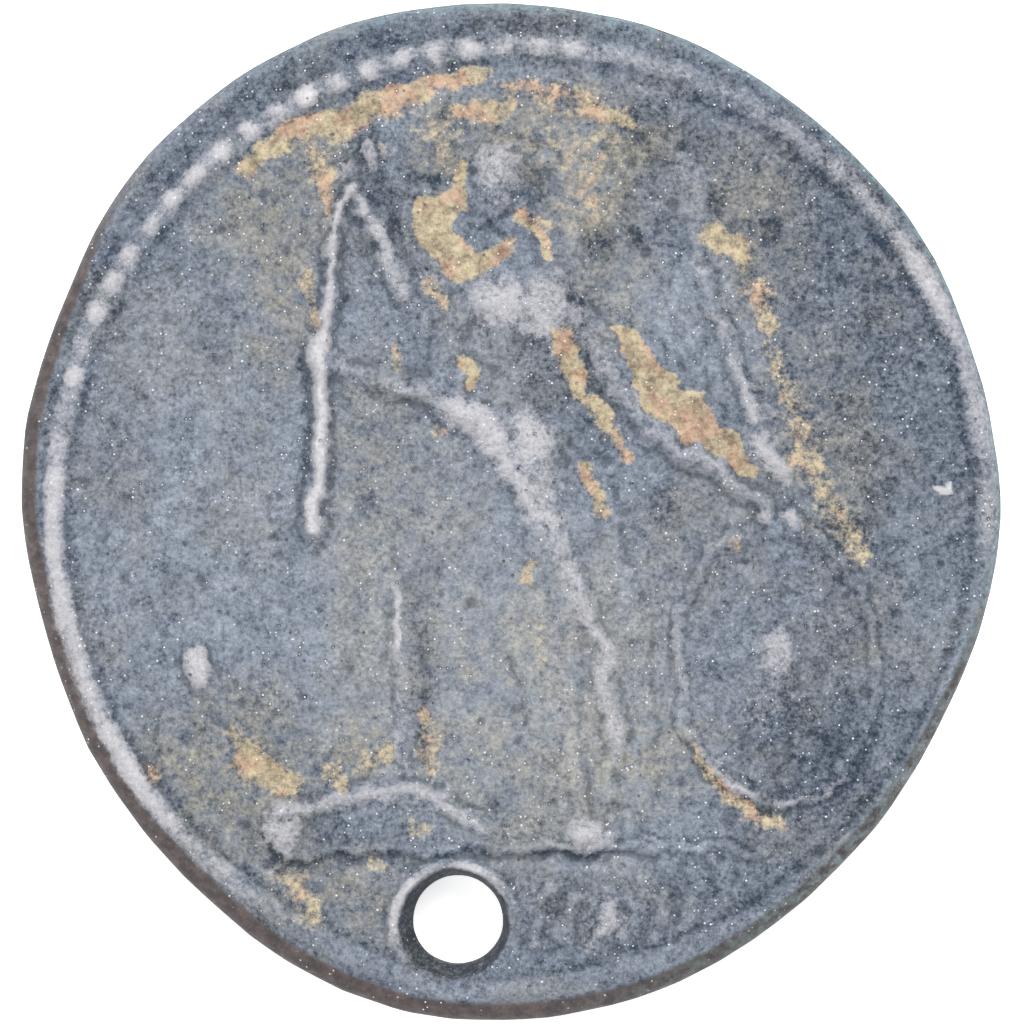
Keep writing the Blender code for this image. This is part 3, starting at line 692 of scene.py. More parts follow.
# Where the metal is bare, and how bare, from 0 to 1.
BARE_RIDGES = (
    # spear
    (((-35.8, 69), (-39.3, 61), (-40.6, 52), (-41.6, 44), (-42.4, 37)), 1.6, 2.2, 0.80),
    (((-42.5, 37), (-43.2, 31), (-43.0, 24), (-43.3, 16), (-43.8, 6), (-44.7, -3)), 3.4, 2.5, 1.10),
    # wings
    (((-35.0, 67.5), (-32.2, 62), (-28.8, 55.5), (-26.4, 50)), 2.6, 3.2, 0.62),
    (((-26.4, 50), (-25, 46.5), (-23.6, 43)), 3.0, 1.8, 0.62),
    (((34, 78), (36.4, 68), (38.4, 58)), 2.8, 3.4, 0.34),
    (((37, 55), (37.6, 50)), 3.2, 3.0, 0.56),
    (((41.4, 43), (43.6, 36)), 2.8, 2.8, 0.50),
    (((46.2, 32), (48.6, 26), (51, 20)), 3.8, 3.4, 0.62),
    (((52.2, 15.4), (54.6, 11), (57.2, 6.4)), 3.8, 3.4, 0.76),
    (((48, 38), (52, 28), (56, 16)), 2.6, 2.8, 0.32),
    # arms
    (((9, 46), (13, 39.5), (17, 32), (21, 25.4), (26, 19.4), (32, 15)), 5.0, 4.4, 0.42),
    (((32, 15), (40, 10.4), (47, 6.5)), 4.8, 4.0, 0.48),
    (((-25.0, 26), (-31, 27.6), (-37, 29.4)), 3.0, 2.4, 0.28),
    # cloak round the hips
    (((-27.8, 27.6), (-21, 24.8), (-15.6, 22.8)), 4.0, 4.6, 0.50),
    (((-13.6, 22), (-9.4, 19.4), (-6.4, 15.6)), 5.6, 5.8, 0.86),
    (((-6.4, 15.6), (-2.6, 8.4), (2.4, 1.6), (6.4, -1)), 4.8, 5.2, 0.72),
    # folds of the skirt
    (((5.4, 0), (8.6, -7), (10.6, -16), (12.8, -22)), 5.4, 4.4, 0.62),
    (((12.2, -22), (16.6, -27), (18, -33), (18, -40), (20.6, -48)), 3.2, 3.6, 0.66),
    (((8, -24), (8.4, -40), (8.4, -56), (10, -64)), 3.0, 2.4, 0.46),
    # leg on the prow
    (((-26.0, -16), (-26.2, -23), (-26.4, -30)), 1.6, 1.6, 0.95),
    (((-26.4, -30), (-26.2, -42), (-25.6, -52)), 1.8, 1.6, 0.56),
    # prow
    (((-53, -64.4), (-44, -62.8), (-36, -61.4)), 3.2, 3.8, 0.60),
    (((-36, -61.4), (-28, -60.6), (-20.5, -61), (-14, -64.6), (-9.6, -68.6)), 4.6, 2.8, 0.62),
    (((-65, -33), (-57, -40), (-47, -49)), 2.4, 2.4, 0.26),
    (((18.6, -69.6), (24, -70), (29, -70.2)), 1.8, 1.4, 0.44),
    # shield's rim
    (((34.4, -17), (33.4, -27), (34.6, -36)), 2.2, 2.2, 0.42),
    (((40.4, -51), (44.6, -56.6), (50, -61)), 2.4, 2.4, 0.60),
    (((56, -62.2), (62, -60.6), (67, -57.6)), 2.0, 2.0, 0.54),
    (((59, -5), (64, -9), (70, -12)), 2.6, 2.2, 0.30),
)
BARE_DOMES = (
    ((-4.8, 73.4), 7.0, 8.6, 10, 0.66),
    ((-4.4, 67.0), 4.4, 4.0, 0, 0.50),
    ((-38.6, 72.4), 3.0, 3.0, 0, 0.76),
    ((-32.6, 76.6), 3.2, 4.6, 0, 0.56),
    ((-4.6, 45.0), 9.4, 8.6, 10, 0.78),
    ((4.0, 43.4), 8.8, 9.0, 0, 0.74),
    ((9.0, 50.0), 3.4, 3.0, 0, 0.40),
    ((1.8, 15.0), 7.0, 10.6, -4, 0.78),
    ((5.0, 5.0), 5.6, 9.0, -16, 0.58),
    ((-37.4, 29.6), 3.4, 5.0, -10, 0.48),
    ((51.3, -1.5), 3.0, 3.0, 0, 0.66),
    ((56.8, -1.3), 2.6, 2.8, 0, 0.64),
    ((14.7, -68.4), 7.0, 5.0, 0, 0.84),
    ((54.9, -30.0), 6.6, 11.0, -2, 0.60),
    ((52.0, -41.0), 11.0, 8.0, 10, 0.34),
    ((44.0, -32.0), 11.0, 17.0, 10, 0.26),
    ((-51.0, -68.4), 5.4, 7.4, 0, 0.66),
    ((-69.0, -33.4), 4.4, 5.4, -20, 0.84),
    ((-17.0, -8.0), 7.6, 9.0, 0, 0.36),
    ((-24.0, -34.0), 26.0, 12.0, 0, 0.10),
    ((18.0, -87.0), 5.6, 6.8, 0, 0.66),
    ((14.6, -92.2), 3.0, 3.0, 0, 0.62),
    ((4.0, -93.0), 4.0, 2.2, 0, 0.50),
    ((33.0, -78.0), 4.0, 2.6, 30, 0.30),
    ((32.0, -86.0), 2.2, 5.0, 0, 0.24),
    # a chip in the field to the right
    ((90.1, 5.3), 1.9, 1.3, -35, 1.60),
    ((92.1, 5.3), 1.8, 1.4, 40, 1.60),
)

# Where ochre earth is packed in the hollows.
EARTH_RIDGES = (
    # under the border
    (((-58, 73), (-53, 78), (-48, 81.4), (-42.6, 83.2)), 3.2, 5.4, 1.00),
    (((-42.6, 83.2), (-37, 83.4), (-32.9, 86)), 5.8, 5.4, 1.00),
    (((-32.9, 86), (-27.4, 88.5), (-20, 90.4)), 5.8, 4.6, 1.00),
    (((-20, 91.4), (-14.7, 92.4), (-8, 92.6)), 3.4, 3.4, 0.80),
    (((-12, 86), (-4, 84.5), (-1.6, 86.5)), 3.0, 3.0, 0.80),
    (((-2, 91), (6, 90), (12, 88), (22, 85)), 4.0, 5.0, 0.62),
    (((15, 85), (23, 84.4)), 4.0, 4.6, 0.78),
    (((-44.4, 79), (-43.6, 74), (-41, 70)), 3.6, 3.4, 0.62),
    # between the wing behind the spear and the head
    (((-12.4, 73.6), (-13.4, 67.4)), 3.0, 3.4, 0.92),
    (((-0.4, 63.6), (3.2, 59.4), (6.6, 53.8)), 2.6, 1.8, 0.90),
    (((2.6, 63), (6.6, 61)), 2.0, 2.4, 0.60),
    (((-19.6, 49.6), (-16.4, 45.6)), 3.4, 3.0, 0.66),
    # beside the arm
    (((8.7, 37.6), (9.6, 33), (11.6, 29)), 4.0, 3.6, 1.00),
    (((12, 28), (15, 23.4), (18.4, 18)), 2.6, 2.2, 0.95),
    (((18.6, 17.4), (22.4, 12.4)), 2.4, 2.4, 0.72),
    # beside the wing
    (((41.6, 61), (45.4, 58.6), (47.6, 54)), 5.0, 3.8, 0.80),
    (((50.6, 49), (52.6, 45), (53.8, 40)), 5.0, 3.6, 0.62),
    (((54.4, 35), (56.6, 28), (60, 18), (62.6, 10)), 4.2, 6.4, 0.52),
    (((61, 11), (64, 5), (68.6, -2), (74, -8)), 6.4, 5.0, 0.58),
    # small pockets
    (((-46.4, 49.5), (-44.8, 43), (-43.6, 39)), 3.2, 2.0, 0.66),
    (((-41.8, 68.6), (-41.0, 64)), 3.0, 2.2, 0.66),
    (((-11.6, 32.6), (-10.2, 26.8)), 2.5, 2.0, 1.00),
    (((-26.8, 36), (-26.4, 32.4)), 2.8, 2.2, 0.58),
    (((14.6, 8.6), (16.2, 3.6), (17, 0)), 2.6, 3.0, 0.90),
    (((2.2, -11), (2.2, -15)), 2.4, 2.2, 0.70),
    (((3.6, -22), (4.6, -34)), 2.6, 2.6, 0.38),
    (((-61.6, -46), (-58.6, -50.6)), 3.2, 4.0, 0.66),
    (((-58, -52), (-54.6, -56), (-51.0, -57.6)), 5.8, 5.0, 1.00),
    (((-40.6, -55), (-37.6, -59)), 4.0, 3.4, 0.70),
    (((-32, -54), (-28, -50)), 4.6, 4.2, 0.56),
    (((-20.6, -44), (-19.2, -50), (-19.8, -55)), 3.6, 3.6, 0.56),
    (((-50.6, -76.6), (-47.6, -80), (-44, -88)), 3.6, 4.6, 0.56),
    (((38, -50.5), (43.4, -59), (50, -65), (56, -67)), 2.8, 3.4, 0.62),
)
# The widest patches lie between the arm and the wing, and below the face.
EARTH_PLATES = (
    (((19, 38.6), (23, 38.6), (26.4, 34), (31.8, 29), (34.6, 25.6), (39.6, 25), (41.6, 19.4),
      (47, 17.2), (48.8, 13.8), (51.4, 9.4), (49.6, 8.2), (45.4, 10.6), (40, 13.4), (34.4, 17),
      (28.8, 20), (24.8, 25), (22, 30.2)), 1.8, 1.15),
    (((-22.9, 67), (-15.6, 69.4), (-12.2, 68.8), (-13.5, 62.4), (-10.7, 58.1), (-5.8, 56.6),
      (-1.8, 58.4), (-2.6, 54.5), (-8.5, 50.6), (-14.3, 50), (-17.7, 53.8), (-21.4, 58.1)), 3.0, 0.98),
)
EARTH_DOMES = (
    ((-28.6, 77.0), 5.0, 8.0, 0, 0.28),
    ((-79, -55.6), 2.6, 3.6, 0, 0.66),
    ((-22.6, -67.8), 4.4, 2.4, 0, 0.56),
    ((-31.6, -76.4), 4.6, 3.0, 0, 0.48),
    ((-17.7, 18.0), 3.4, 2.6, 0, 0.60),
    ((12.0, 78), 14.0, 12.0, 0, 0.40),
    ((15, 67), 8.0, 10.0, 0, 0.44),
    ((17, 72), 3.0, 6.0, 0, 0.34),
    ((-18.6, 80.0), 9.6, 9.0, 0, 0.38),
    ((60, -3.0), 6.0, 5.0, 0, 0.30),
    ((46.0, -7.6), 3.0, 2.4, 0, 0.62),
)

# Where a thin film of soil dulls the patina.
SOIL_DOMES = (
    ((-62, -56), 26.0, 24.0, 0, 1.00),
    ((-34, -50), 9.0, 10.0, 0, 1.10),
    ((-17, -50), 6.0, 9.0, 0, 1.00),
    ((-54, 64), 20.0, 20.0, 0, 0.75),
    ((-52, 46), 9.0, 26.0, 0, 0.85),
    ((-32, 0), 14.0, 40.0, 0, 0.60),
    ((50, 62), 15.0, 24.0, 20, 0.65),
    ((64, 20), 14.0, 34.0, 14, 0.50),
    ((2, -40), 34.0, 36.0, 0, 0.70),
    ((24, -52), 22.0, 16.0, 0, 0.80),
    ((-24, -2), 20.0, 24.0, 0, 0.55),
    ((18, 52), 14.0, 18.0, 0, 0.60),
    ((10, 80), 26.0, 14.0, 0, 1.30),
    ((15, 68), 11.0, 13.0, 0, 1.50),
    ((-17, 78), 9.0, 10.0, 0, 1.20),
    ((-44, 74), 10.0, 9.0, 0, 1.10),
    ((-38, -82), 24.0, 12.0, 0, 0.80),
    ((34, -6), 18.0, 12.0, 0, 0.40),
    ((76, -24), 8.0, 14.0, 0, 0.50),
)

# How much paler or darker than the rest the patina is in places.
TONE_DOMES = (
    ((-8, -30), 46.0, 46.0, 0, 0.16),
    ((30, -54), 24.0, 20.0, 0, 0.10),
    ((-64, 6), 30.0, 60.0, 0, 0.07),
    ((84, 24), 34.0, 66.0, 10, -0.14),
    ((70, -62), 40.0, 34.0, 0, -0.13),
    ((64, 62), 30.0, 26.0, -40, -0.10),
    ((24, -88), 60.0, 14.0, 0, -0.09),
    ((64, -22), 18.0, 24.0, 0, -0.05),
    ((34, 82), 16.0, 9.0, -24, -0.20),
    # smooth and bluish: wings, head, body and leg
    ((-29, 70), 9.0, 17.0, 20, -0.14),
    ((-1, 66), 12.0, 12.0, 0, -0.16),
    ((8, 26), 9.0, 24.0, 20, -0.18),
    ((13, 36), 5.0, 22.0, 24, -0.06),
    ((-22, -30), 5.4, 30.0, 0, -0.14),
    ((27, 68), 9.0, 22.0, 10, -0.10),
    ((30, 44), 12.0, 14.0, 24, 0.10),
    ((-34, -68), 22.0, 6.0, 0, -0.12),
    ((-54, -46), 5.0, 22.0, 52, -0.06),
    ((62, -52), 18.0, 18.0, 0, -0.14),
    ((62, -20), 10.0, 22.0, 0, -0.04),
    ((-88, 30), 8.0, 40.0, 12, -0.08),
    ((-72, 48), 20.0, 10.0, -50, -0.08),
    ((14, 70), 11.0, 16.0, 0, 0.14),
)

# Where the patina is darkest, and painted shadows: left of the spear, under the prow and the ground line, and
# under the shield's lower rim.
DARK_AND_SHADOW_RIDGES = (
    (((-46.6, 36), (-46.8, 20), (-47.4, 4)), 1.4, 1.4, 0.5),
    (((-55, -66), (-54.4, -72), (-53, -75.2)), 1.4, 1.4, 0.7),
    (((-53, -74.6), (-34, -74.2), (-20, -73.6), (-6, -72.6)), 1.3, 1.2, 0.5),
    (((4, -73.6), (12, -73.2), (18, -73)), 1.3, 1.2, 0.6),
    (((-15, 62), (-10, 50.6), (-14, 47)), 1.3, 1.3, 0.3),
    (((38.6, -52), (43.6, -59.2), (49.6, -64), (54, -65.2)), 1.5, 1.3, 1.0),
    (((10.6, 47), (12.4, 41.6)), 1.8, 1.2, 0.9),
    (((62, 82), (67, 76), (71, 70)), 1.6, 1.6, 0.3),
    (((-22.6, -14), (-22.0, -34), (-22, -52)), 3.6, 3.4, 0.24),
    (((-66, -38), (-54, -47.4), (-42, -57)), 3.4, 3.4, 0.14),
    (((-33, 78), (-28, 66), (-22.6, 52)), 4.0, 3.0, 0.22),
)
DARK_DOMES = (
    ((17.4, 57.6), 4.6, 4.0, 30, 0.80),
    ((25.6, 58.6), 3.0, 3.0, 0, 0.60),
    ((-20, 71.2), 4.0, 1.8, 0, 0.70),
    ((-14.6, 85.4), 2.0, 2.0, 0, 0.60),
    ((17.8, 95.2), 3.6, 1.8, -20, 0.75),
    ((40.6, 66.8), 2.4, 3.4, 0, 0.70),
    ((53.6, 60.4), 3.0, 4.0, 0, 0.50),
    ((54.0, 86.0), 3.0, 3.0, 0, 0.40),
    ((-32.4, 2.0), 3.0, 3.0, 0, 0.40),
    ((-5.0, -62.0), 3.4, 3.0, 0, 0.50),
    ((30.0, 2.0), 6.0, 6.0, 0, 0.40),
    ((48.6, 20.0), 3.0, 2.6, 0, 0.35),
    ((69.0, 24.0), 3.0, 3.0, 0, 0.40),
    ((-8.0, 21.8), 3.0, 1.2, 20, 0.50),
)


def cavity(x, y, height, reach):
    """How hollow the surface is, in metres: the mean height a short way off, less the height here."""
    around = np.zeros(x.shape)
    for i in range(6):
        direction = math.pi / 3 * i
        around += height(x + reach * math.cos(direction), y + reach * math.sin(direction)) / 6
    return around - height(x, y)


def masks(points, top_count):
    """Where the material is bare, earthy, soiled, pale, darkest, brown at the edge or dirty in its hollows;
    with painted shadows, painted shade in hollows and on the edge's lower left, and a painted teal reflection
    on the right edge.
    """
    x, y, z = points.T
    to_edge, angle = in_flan(x, y)
    upper = np.arange(len(points)) < top_count
    u, v = corroded(x, y)
    from_middle = np.hypot(x - REVERSE_SHIFT[0], y - REVERSE_SHIFT[1])
    die_angle = np.arctan2(y - REVERSE_SHIFT[1], x - REVERSE_SHIFT[0])

    # How hollow the surface is: recesses get dirt and painted shade from this.
    hollow_dirt_and_shade = np.zeros(len(points))
    hollow_dirt_and_shade[upper] = cavity(x[upper], y[upper], top_height, 0.18 * MM) / (0.10 * MM)
    hollow_dirt_and_shade[upper] += cavity(x[upper], y[upper], top_height, 0.08 * MM) / (0.024 * MM)
    low = z < OBVERSE_FIELD_DEPTH + 0.12 * MM
    hollow_dirt_and_shade[low] = -cavity(x[low], y[low], under_height, 0.2 * MM) / (0.03 * MM)

    ring = np.clip(1 - ((from_middle - border_radius(die_angle)) / (0.68 * BORDER_WIDTH)) ** 2, 0, 1)
    ring = ring * (0.40 + 1.15 * (roughness_field(x, y, 0.6 * MM, 91, 3) - 0.05))
    beads = 1 - 0.50 * arc_share(die_angle, 128, 34, 22) * np.sin(die_angle * BEADS / 2) ** 2
    polish = 0.20 + 0.66 * arc_share(die_angle, 160, 54, 35) + 0.26 * arc_share(die_angle, 78, 32, 30)
    ring_bare = ring * beads * polish
    ring_bare = ring_bare + 0.42 * ring * arc_share(die_angle, 16, 14, 12)
    hole_x, hole_y = hole_middle()
    around_hole = np.arctan2(y - hole_y, x - hole_x)
    from_hole = np.hypot(x - hole_x, y - hole_y)
    lip = np.clip(1 - ((from_hole - LIP_RADIUS - 0.08 * MM) / (0.13 * MM)) ** 2, 0, 1)
    lip = lip * arc_share(around_hole, 120, 75, 45) * (0.4 + 0.9 * random_lattice(x, y, 0.25 * MM, 93))
    bare = np.maximum.reduce([painted(u, v, BARE_RIDGES, BARE_DOMES), ring_bare, 0.85 * lip])

    near_edge = np.clip(1 - to_edge / edge_width(angle), 0, 1)
    # Brown edge on the lower left, painted darker there as shade of the side that faces away from the light.
    brown_edge_and_shade = np.clip(near_edge * 2.0, 0, 1) * arc_share(angle, 245, 85, 35)
    # Painted reflection: a teal fringe along the edge on the right.
    teal_edge_reflection = np.clip(near_edge * 1.8, 0, 1) * arc_share(angle, 20, 75, 30)
    earth = painted(u, v, EARTH_RIDGES, EARTH_DOMES, EARTH_PLATES)
    soil = painted(u, v, (), SOIL_DOMES)
    dark_patina_and_shadow = painted(u, v, DARK_AND_SHADOW_RIDGES, DARK_DOMES)
    beyond = (from_middle - border_radius(die_angle)) / MM
    dark_patina_and_shadow = np.maximum(dark_patina_and_shadow, 0.36 * np.clip((beyond - 0.2) / 0.1, 0, 1))
    # Painted shade: dark bands along both sides of the border ring.
    inside_ring = np.clip(1 - ((beyond + 0.30) / 0.11) ** 2, 0, 1)
    outside_ring = np.clip(1 - ((beyond - 0.30) / 0.11) ** 2, 0, 1)
    dark_patina_and_shadow = np.maximum(dark_patina_and_shadow, 0.30 * (inside_ring + outside_ring))
    pale = 0.44 + sum(dome_height(u, v, d) for d in TONE_DOMES)

    # The underside is plainer: bare on its high parts, and soil in its hollows.
    under_bare = np.clip(1 - z / (0.05 * MM), 0, 1) * 0.75
    bare = np.where(upper, bare, np.where(low, under_bare, 0.1))
    earth = np.where(upper, earth, np.where(low, 0.55 * np.clip(hollow_dirt_and_shade, 0, 1), 0))
    soil = np.where(upper, soil, 0.4)
    wall = ~upper & (to_edge < 0.02 * MM)
    brown_edge_and_shade = np.where(wall, np.maximum(brown_edge_and_shade, 0.55), brown_edge_and_shade)
    in_bore = ~upper & (from_hole < LIP_RADIUS)
    # Painted shade inside the hole, and a slightly darker underside.
    dark_patina_and_shadow = np.where(upper, dark_patina_and_shadow, np.where(in_bore, 0.75, 0.3))
    return {
        "bare": bare, "earth": earth, "soil": soil, "dark_patina_and_shadow": dark_patina_and_shadow,
        "brown_edge_and_shade": brown_edge_and_shade, "teal_edge_reflection": teal_edge_reflection, "pale": pale, "hollow_dirt_and_shade": np.clip(hollow_dirt_and_shade, -1, 1),
    }


def colour(red, teal_reflection, blue):
    """A shader colour from screen values of 0 to 255."""
    parts = [c / 255 for c in (red, teal_reflection, blue)]
    return tuple([p / 12.92 if p <= 0.04045 else ((p + 0.055) / 1.055) ** 2.4 for p in parts] + [1.0])


class Nodes:
    """Short ways to add the nodes of one material."""

    def __init__(self, material):
        material.use_nodes = True
        self.tree = material.node_tree
        self.shader = self.tree.nodes["Principled BSDF"]

    def feed(self, socket, value):
        if isinstance(value, bpy.types.NodeSocket):
            self.tree.links.new(value, socket)
        else:
            socket.default_value = value

    def maths(self, operation, first, second=0.0, clamp=False):
        node = self.tree.nodes.new("ShaderNodeMath")
        node.operation = operation
        node.use_clamp = clamp
        self.feed(node.inputs[0], first)
        self.feed(node.inputs[1], second)
        return node.outputs[0]

    def blend(self, share, first, second, kind="MIX"):
        node = self.tree.nodes.new("ShaderNodeMix")
        node.data_type = "RGBA"
        node.blend_type = kind
        self.feed(node.inputs[0], share)
        self.feed(node.inputs[6], first)
        self.feed(node.inputs[7], second)
        return node.outputs[2]

    def step(self, value, low, high):
        node = self.tree.nodes.new("ShaderNodeMapRange")
        node.interpolation_type = "SMOOTHSTEP"
        self.feed(node.inputs["Value"], value)
        node.inputs["From Min"].default_value = low
        node.inputs["From Max"].default_value = high
        return node.outputs["Result"]

    def millimetres(self):
        place = self.tree.nodes.new("ShaderNodeTexCoord")
        scale = self.tree.nodes.new("ShaderNodeVectorMath")
        scale.operation = "SCALE"
        scale.inputs["Scale"].default_value = 1 / MM
        self.tree.links.new(place.outputs["Object"], scale.inputs[0])
        return scale.outputs[0]

    def noise(self, place, per_mm, detail=3.0, roughness=0.55):
        node = self.tree.nodes.new("ShaderNodeTexNoise")
        self.tree.links.new(place, node.inputs["Vector"])
        node.inputs["Scale"].default_value = per_mm
        node.inputs["Detail"].default_value = detail
        node.inputs["Roughness"].default_value = roughness
        return node.outputs[0]

    def specks(self, place, per_mm, share, size):
        """Small round spots: one in a share of cells, each a size of its cell across."""
        node = self.tree.nodes.new("ShaderNodeTexVoronoi")
        self.tree.links.new(place, node.inputs["Vector"])
        node.inputs["Scale"].default_value = per_mm
        chosen = self.maths("LESS_THAN", node.outputs["Color"], share)
        spot = self.step(node.outputs["Distance"], size, size * 0.55)
        return self.maths("MULTIPLY", chosen, spot)

    def mask(self, name):
        node = self.tree.nodes.new("ShaderNodeAttribute")
        node.attribute_name = name
        return node.outputs["Fac"]


def patina():
    material = bpy.data.materials.new("bronze_patina")
    n = Nodes(material)
    place = n.millimetres()
    grain = n.noise(place, 13.0, 6.0, 0.78)
    mottle = n.noise(place, 4.2, 7.0, 0.74)
    cloud = n.noise(place, 0.9, 4.0, 0.6)
    drift = n.noise(place, 1.7, 3.0, 0.6)
    fine = n.maths("SUBTRACT", grain, 0.5)
    middling = n.maths("SUBTRACT", mottle, 0.5)

    # Slate-grey patina, in drifts.
    tone = n.maths("ADD", n.mask("pale"), n.maths("MULTIPLY", n.maths("SUBTRACT", cloud, 0.5), 0.35))
    tone = n.maths("ADD", tone, n.maths("MULTIPLY", middling, 1.3))
    roughly = n.maths("ADD", 0.5, n.maths("MULTIPLY", drift, 1.5))
    tone = n.maths("ADD", tone, n.maths("MULTIPLY", n.maths("MULTIPLY", fine, roughly), 1.5))
    # Hollows darker: dirt, and painted shade in recesses.
    tone = n.maths("SUBTRACT", tone, n.maths("MULTIPLY", n.mask("hollow_dirt_and_shade"), 0.14))
    # Darkest patina, and painted shadows.
    tone = n.maths("SUBTRACT", tone, n.maths("MULTIPLY", n.mask("dark_patina_and_shadow"), 0.5), clamp=True)
    shade = n.blend(tone, colour(18, 38, 60), colour(162, 171, 184))

    # Browner drifts.
    warmth = n.maths("MULTIPLY", n.step(n.noise(place, 0.55, 5.0, 0.7), 0.46, 0.62), 0.45)
    shade = n.blend(warmth, shade, n.blend(tone, colour(36, 42, 46), colour(176, 176, 174)))

    # A film of soil.
    clotted = n.step(n.maths("ADD", mottle, n.maths("MULTIPLY", drift, 0.6)), 0.6, 0.95)
    film = n.maths("MULTIPLY", n.mask("soil"), clotted)
    soil_shade = n.blend(tone, colour(48, 50, 48), colour(180, 174, 158))
    shade = n.blend(n.maths("MULTIPLY", film, 0.9), shade, soil_shade)

    # Brown edge, painted darker on the lower left as shade, and a painted teal reflection along the edge on
    # the right.
    brown_shade = n.blend(n.step(mottle, 0.3, 0.75), colour(54, 48, 50), colour(104, 92, 90))
    brownness = n.maths("ADD", n.mask("brown_edge_and_shade"), n.maths("MULTIPLY", middling, 0.6))
    shade = n.blend(n.step(brownness, 0.25, 0.75), shade, brown_shade)
    # Painted reflection: teal fringe along the right edge.
    teal_reflection = n.maths("MULTIPLY", n.mask("teal_edge_reflection"), n.step(mottle, 0.4, 0.65))
    shade = n.blend(n.maths("MULTIPLY", teal_reflection, 0.6), shade, colour(96, 138, 140))

    # Hollows hold dirt, and are darkened with painted shade.
    dirt_and_shade = n.step(n.maths("ADD", n.mask("hollow_dirt_and_shade"), n.maths("MULTIPLY", middling, 1.2)), 0.25, 1.0)
    shade = n.blend(n.maths("MULTIPLY", dirt_and_shade, 0.5), shade, colour(66, 74, 82))

    # Worn metal, a little mauve, and silvery where it is barest.
    worn = n.maths("ADD", n.mask("bare"), n.maths("MULTIPLY", middling, 1.3))
    worn = n.maths("ADD", worn, n.maths("MULTIPLY", fine, 0.7))
    worn = n.maths("SUBTRACT", worn, n.maths("MULTIPLY", n.mask("hollow_dirt_and_shade"), 0.15))
    worn = n.step(worn, 0.22, 0.80)
    brightness = n.maths("MULTIPLY", n.mask("bare"), 0.75)
    brightness = n.maths("ADD", brightness, n.maths("MULTIPLY", fine, 1.6), clamp=True)
    worn_shade = n.blend(brightness, colour(122, 124, 136), colour(216, 214, 216))
    shade = n.blend(n.maths("MULTIPLY", worn, 0.92), shade, worn_shade)

    # Ochre earth.
    packed = n.maths("ADD", n.mask("earth"), n.maths("MULTIPLY", middling, 1.7))
    packed = n.maths("ADD", packed, n.maths("MULTIPLY", fine, 1.0))
    packed = n.step(packed, 0.28, 0.80)
    clods = n.step(n.maths("ADD", mottle, n.maths("MULTIPLY", fine, 0.8)), 0.28, 0.74)
    ochre = n.blend(clods, colour(134, 120, 94), colour(224, 208, 174))
    pinkish = n.blend(clods, colour(150, 112, 88), colour(222, 186, 162))
    ochre = n.blend(n.maths("MULTIPLY", n.step(drift, 0.47, 0.60), 0.75), ochre, pinkish)
    ochre = n.blend(n.step(grain, 0.2, 0.9), ochre, n.blend(1.0, ochre, colour(214, 214, 216), "MULTIPLY"))
    packed = n.maths("MULTIPLY", packed, n.maths("ADD", 0.62, n.maths("MULTIPLY", mottle, 0.6)), clamp=True)
    shade = n.blend(packed, shade, ochre)

    # Pits, and painted glints: white specks in the colour that stand in for sparkle.
    pits = n.specks(place, 8.0, 0.16, 0.30)
    shade = n.blend(n.maths("MULTIPLY", pits, 0.6), shade, colour(38, 46, 54))
    painted_glints = n.maths("MAXIMUM", n.specks(place, 8.0, 0.30, 0.18), n.specks(place, 17.0, 0.16, 0.30))
    painted_glints = n.maths("MULTIPLY", painted_glints, n.step(drift, 0.38, 0.54))
    shade = n.blend(n.maths("MULTIPLY", painted_glints, 0.85), shade, colour(240, 242, 244))

    n.feed(n.shader.inputs["Base Color"], shade)
    rough = n.maths("SUBTRACT", 0.66, n.maths("MULTIPLY", worn, 0.2))
    rough = n.maths("ADD", rough, n.maths("MULTIPLY", packed, 0.25))
    n.feed(n.shader.inputs["Roughness"], n.maths("ADD", rough, n.maths("MULTIPLY", fine, 0.25), clamp=True))
    n.feed(n.shader.inputs["Metallic"], n.maths("MULTIPLY", worn, 0.35))

    relief = n.maths("ADD", n.maths("MULTIPLY", grain, 0.5), mottle)
    relief = n.maths("SUBTRACT", relief, n.maths("MULTIPLY", pits, 0.8))
    bump = n.tree.nodes.new("ShaderNodeBump")
    bump.inputs["Strength"].default_value = 0.9
    bump.inputs["Distance"].default_value = 0.04 * MM
    n.feed(bump.inputs["Height"], relief)
    n.feed(n.shader.inputs["Normal"], bump.outputs[0])
    return material


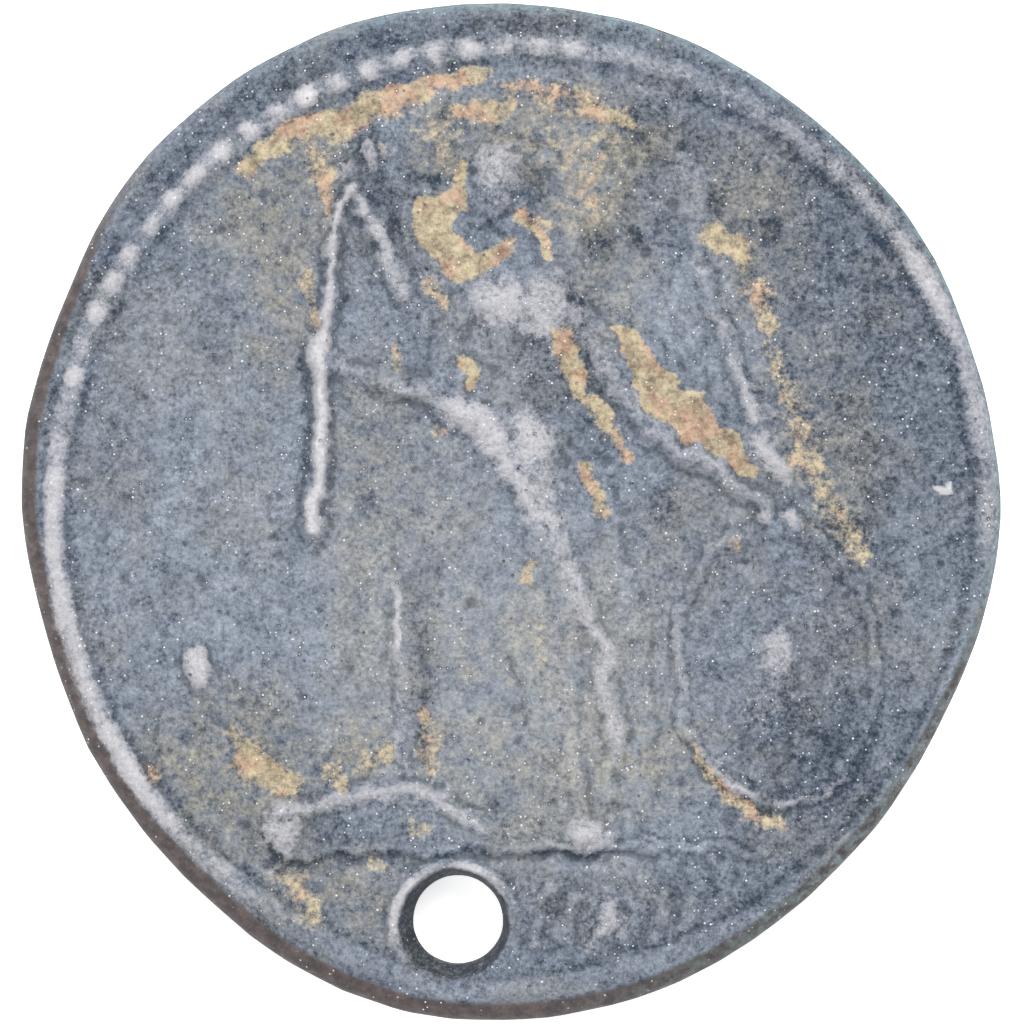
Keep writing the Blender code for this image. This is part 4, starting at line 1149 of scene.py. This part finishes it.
def coin():
    points, faces, top_count = coin_mesh()
    mesh = bpy.data.meshes.new("struck_coin")
    mesh.from_pydata(points.tolist(), [], faces.tolist())
    for name, values in masks(points, top_count).items():
        layer = mesh.attributes.new(name, "FLOAT", "POINT")
        layer.data.foreach_set("value", values.astype(np.float32))
    mesh.update()
    mesh.shade_smooth()
    mesh.set_sharp_from_angle(angle=math.radians(60))
    mesh.materials.append(patina())
    piece = bpy.data.objects.new("struck_coin", mesh)
    bpy.context.scene.collection.objects.link(piece)
    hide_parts("coin")
    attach(piece, "root")


def plain(name, shade, glow):
    material = bpy.data.materials.new(name)
    n = Nodes(material)
    n.shader.inputs["Base Color"].default_value = shade
    n.shader.inputs["Roughness"].default_value = 0.9
    n.shader.inputs["Emission Color"].default_value = (1, 1, 1, 1)
    n.shader.inputs["Emission Strength"].default_value = glow
    return material


def stage():
    bpy.ops.mesh.primitive_plane_add(size=0.6, location=(0, 0, -0.02 * MM))
    floor = bpy.context.object
    floor.name = "floor"
    floor.data.materials.append(plain("floor", (0.9, 0.9, 0.9, 1), 0.6))


def lamp(name, place, size, watts):
    """A square soft light that faces the coin."""
    data = bpy.data.lights.new(name, "AREA")
    data.shape = "SQUARE"
    data.size = size
    data.energy = watts
    light = bpy.data.objects.new(name, data)
    light.location = place
    light.rotation_euler = (-Vector(place)).to_track_quat("-Z", "Y").to_euler()
    bpy.context.scene.collection.objects.link(light)


def lights():
    lamp("key", (0.05, 0.13, 0.20), 0.14, 0.50)
    lamp("fill", (-0.12, -0.05, 0.19), 0.16, 0.20)
    world = bpy.data.worlds.new("studio")
    world.use_nodes = True
    world.node_tree.nodes["Background"].inputs[0].default_value = (1, 1, 1, 1)
    world.node_tree.nodes["Background"].inputs[1].default_value = 0.55
    bpy.context.scene.world = world


def camera():
    """Straight above the coin, and as wide as the photograph, whose side is 18 mm."""
    data = bpy.data.cameras.new("camera")
    data.lens = 200
    data.sensor_width = 36
    data.clip_start = 0.005
    view = bpy.data.objects.new("camera", data)
    view.location = (0.026 * MM, 0, 0.1 + FIELD_THICKNESS)
    bpy.context.scene.collection.objects.link(view)
    bpy.context.scene.camera = view
    bpy.context.scene.view_settings.view_transform = "Standard"


coin()
stage()
lights()
camera()
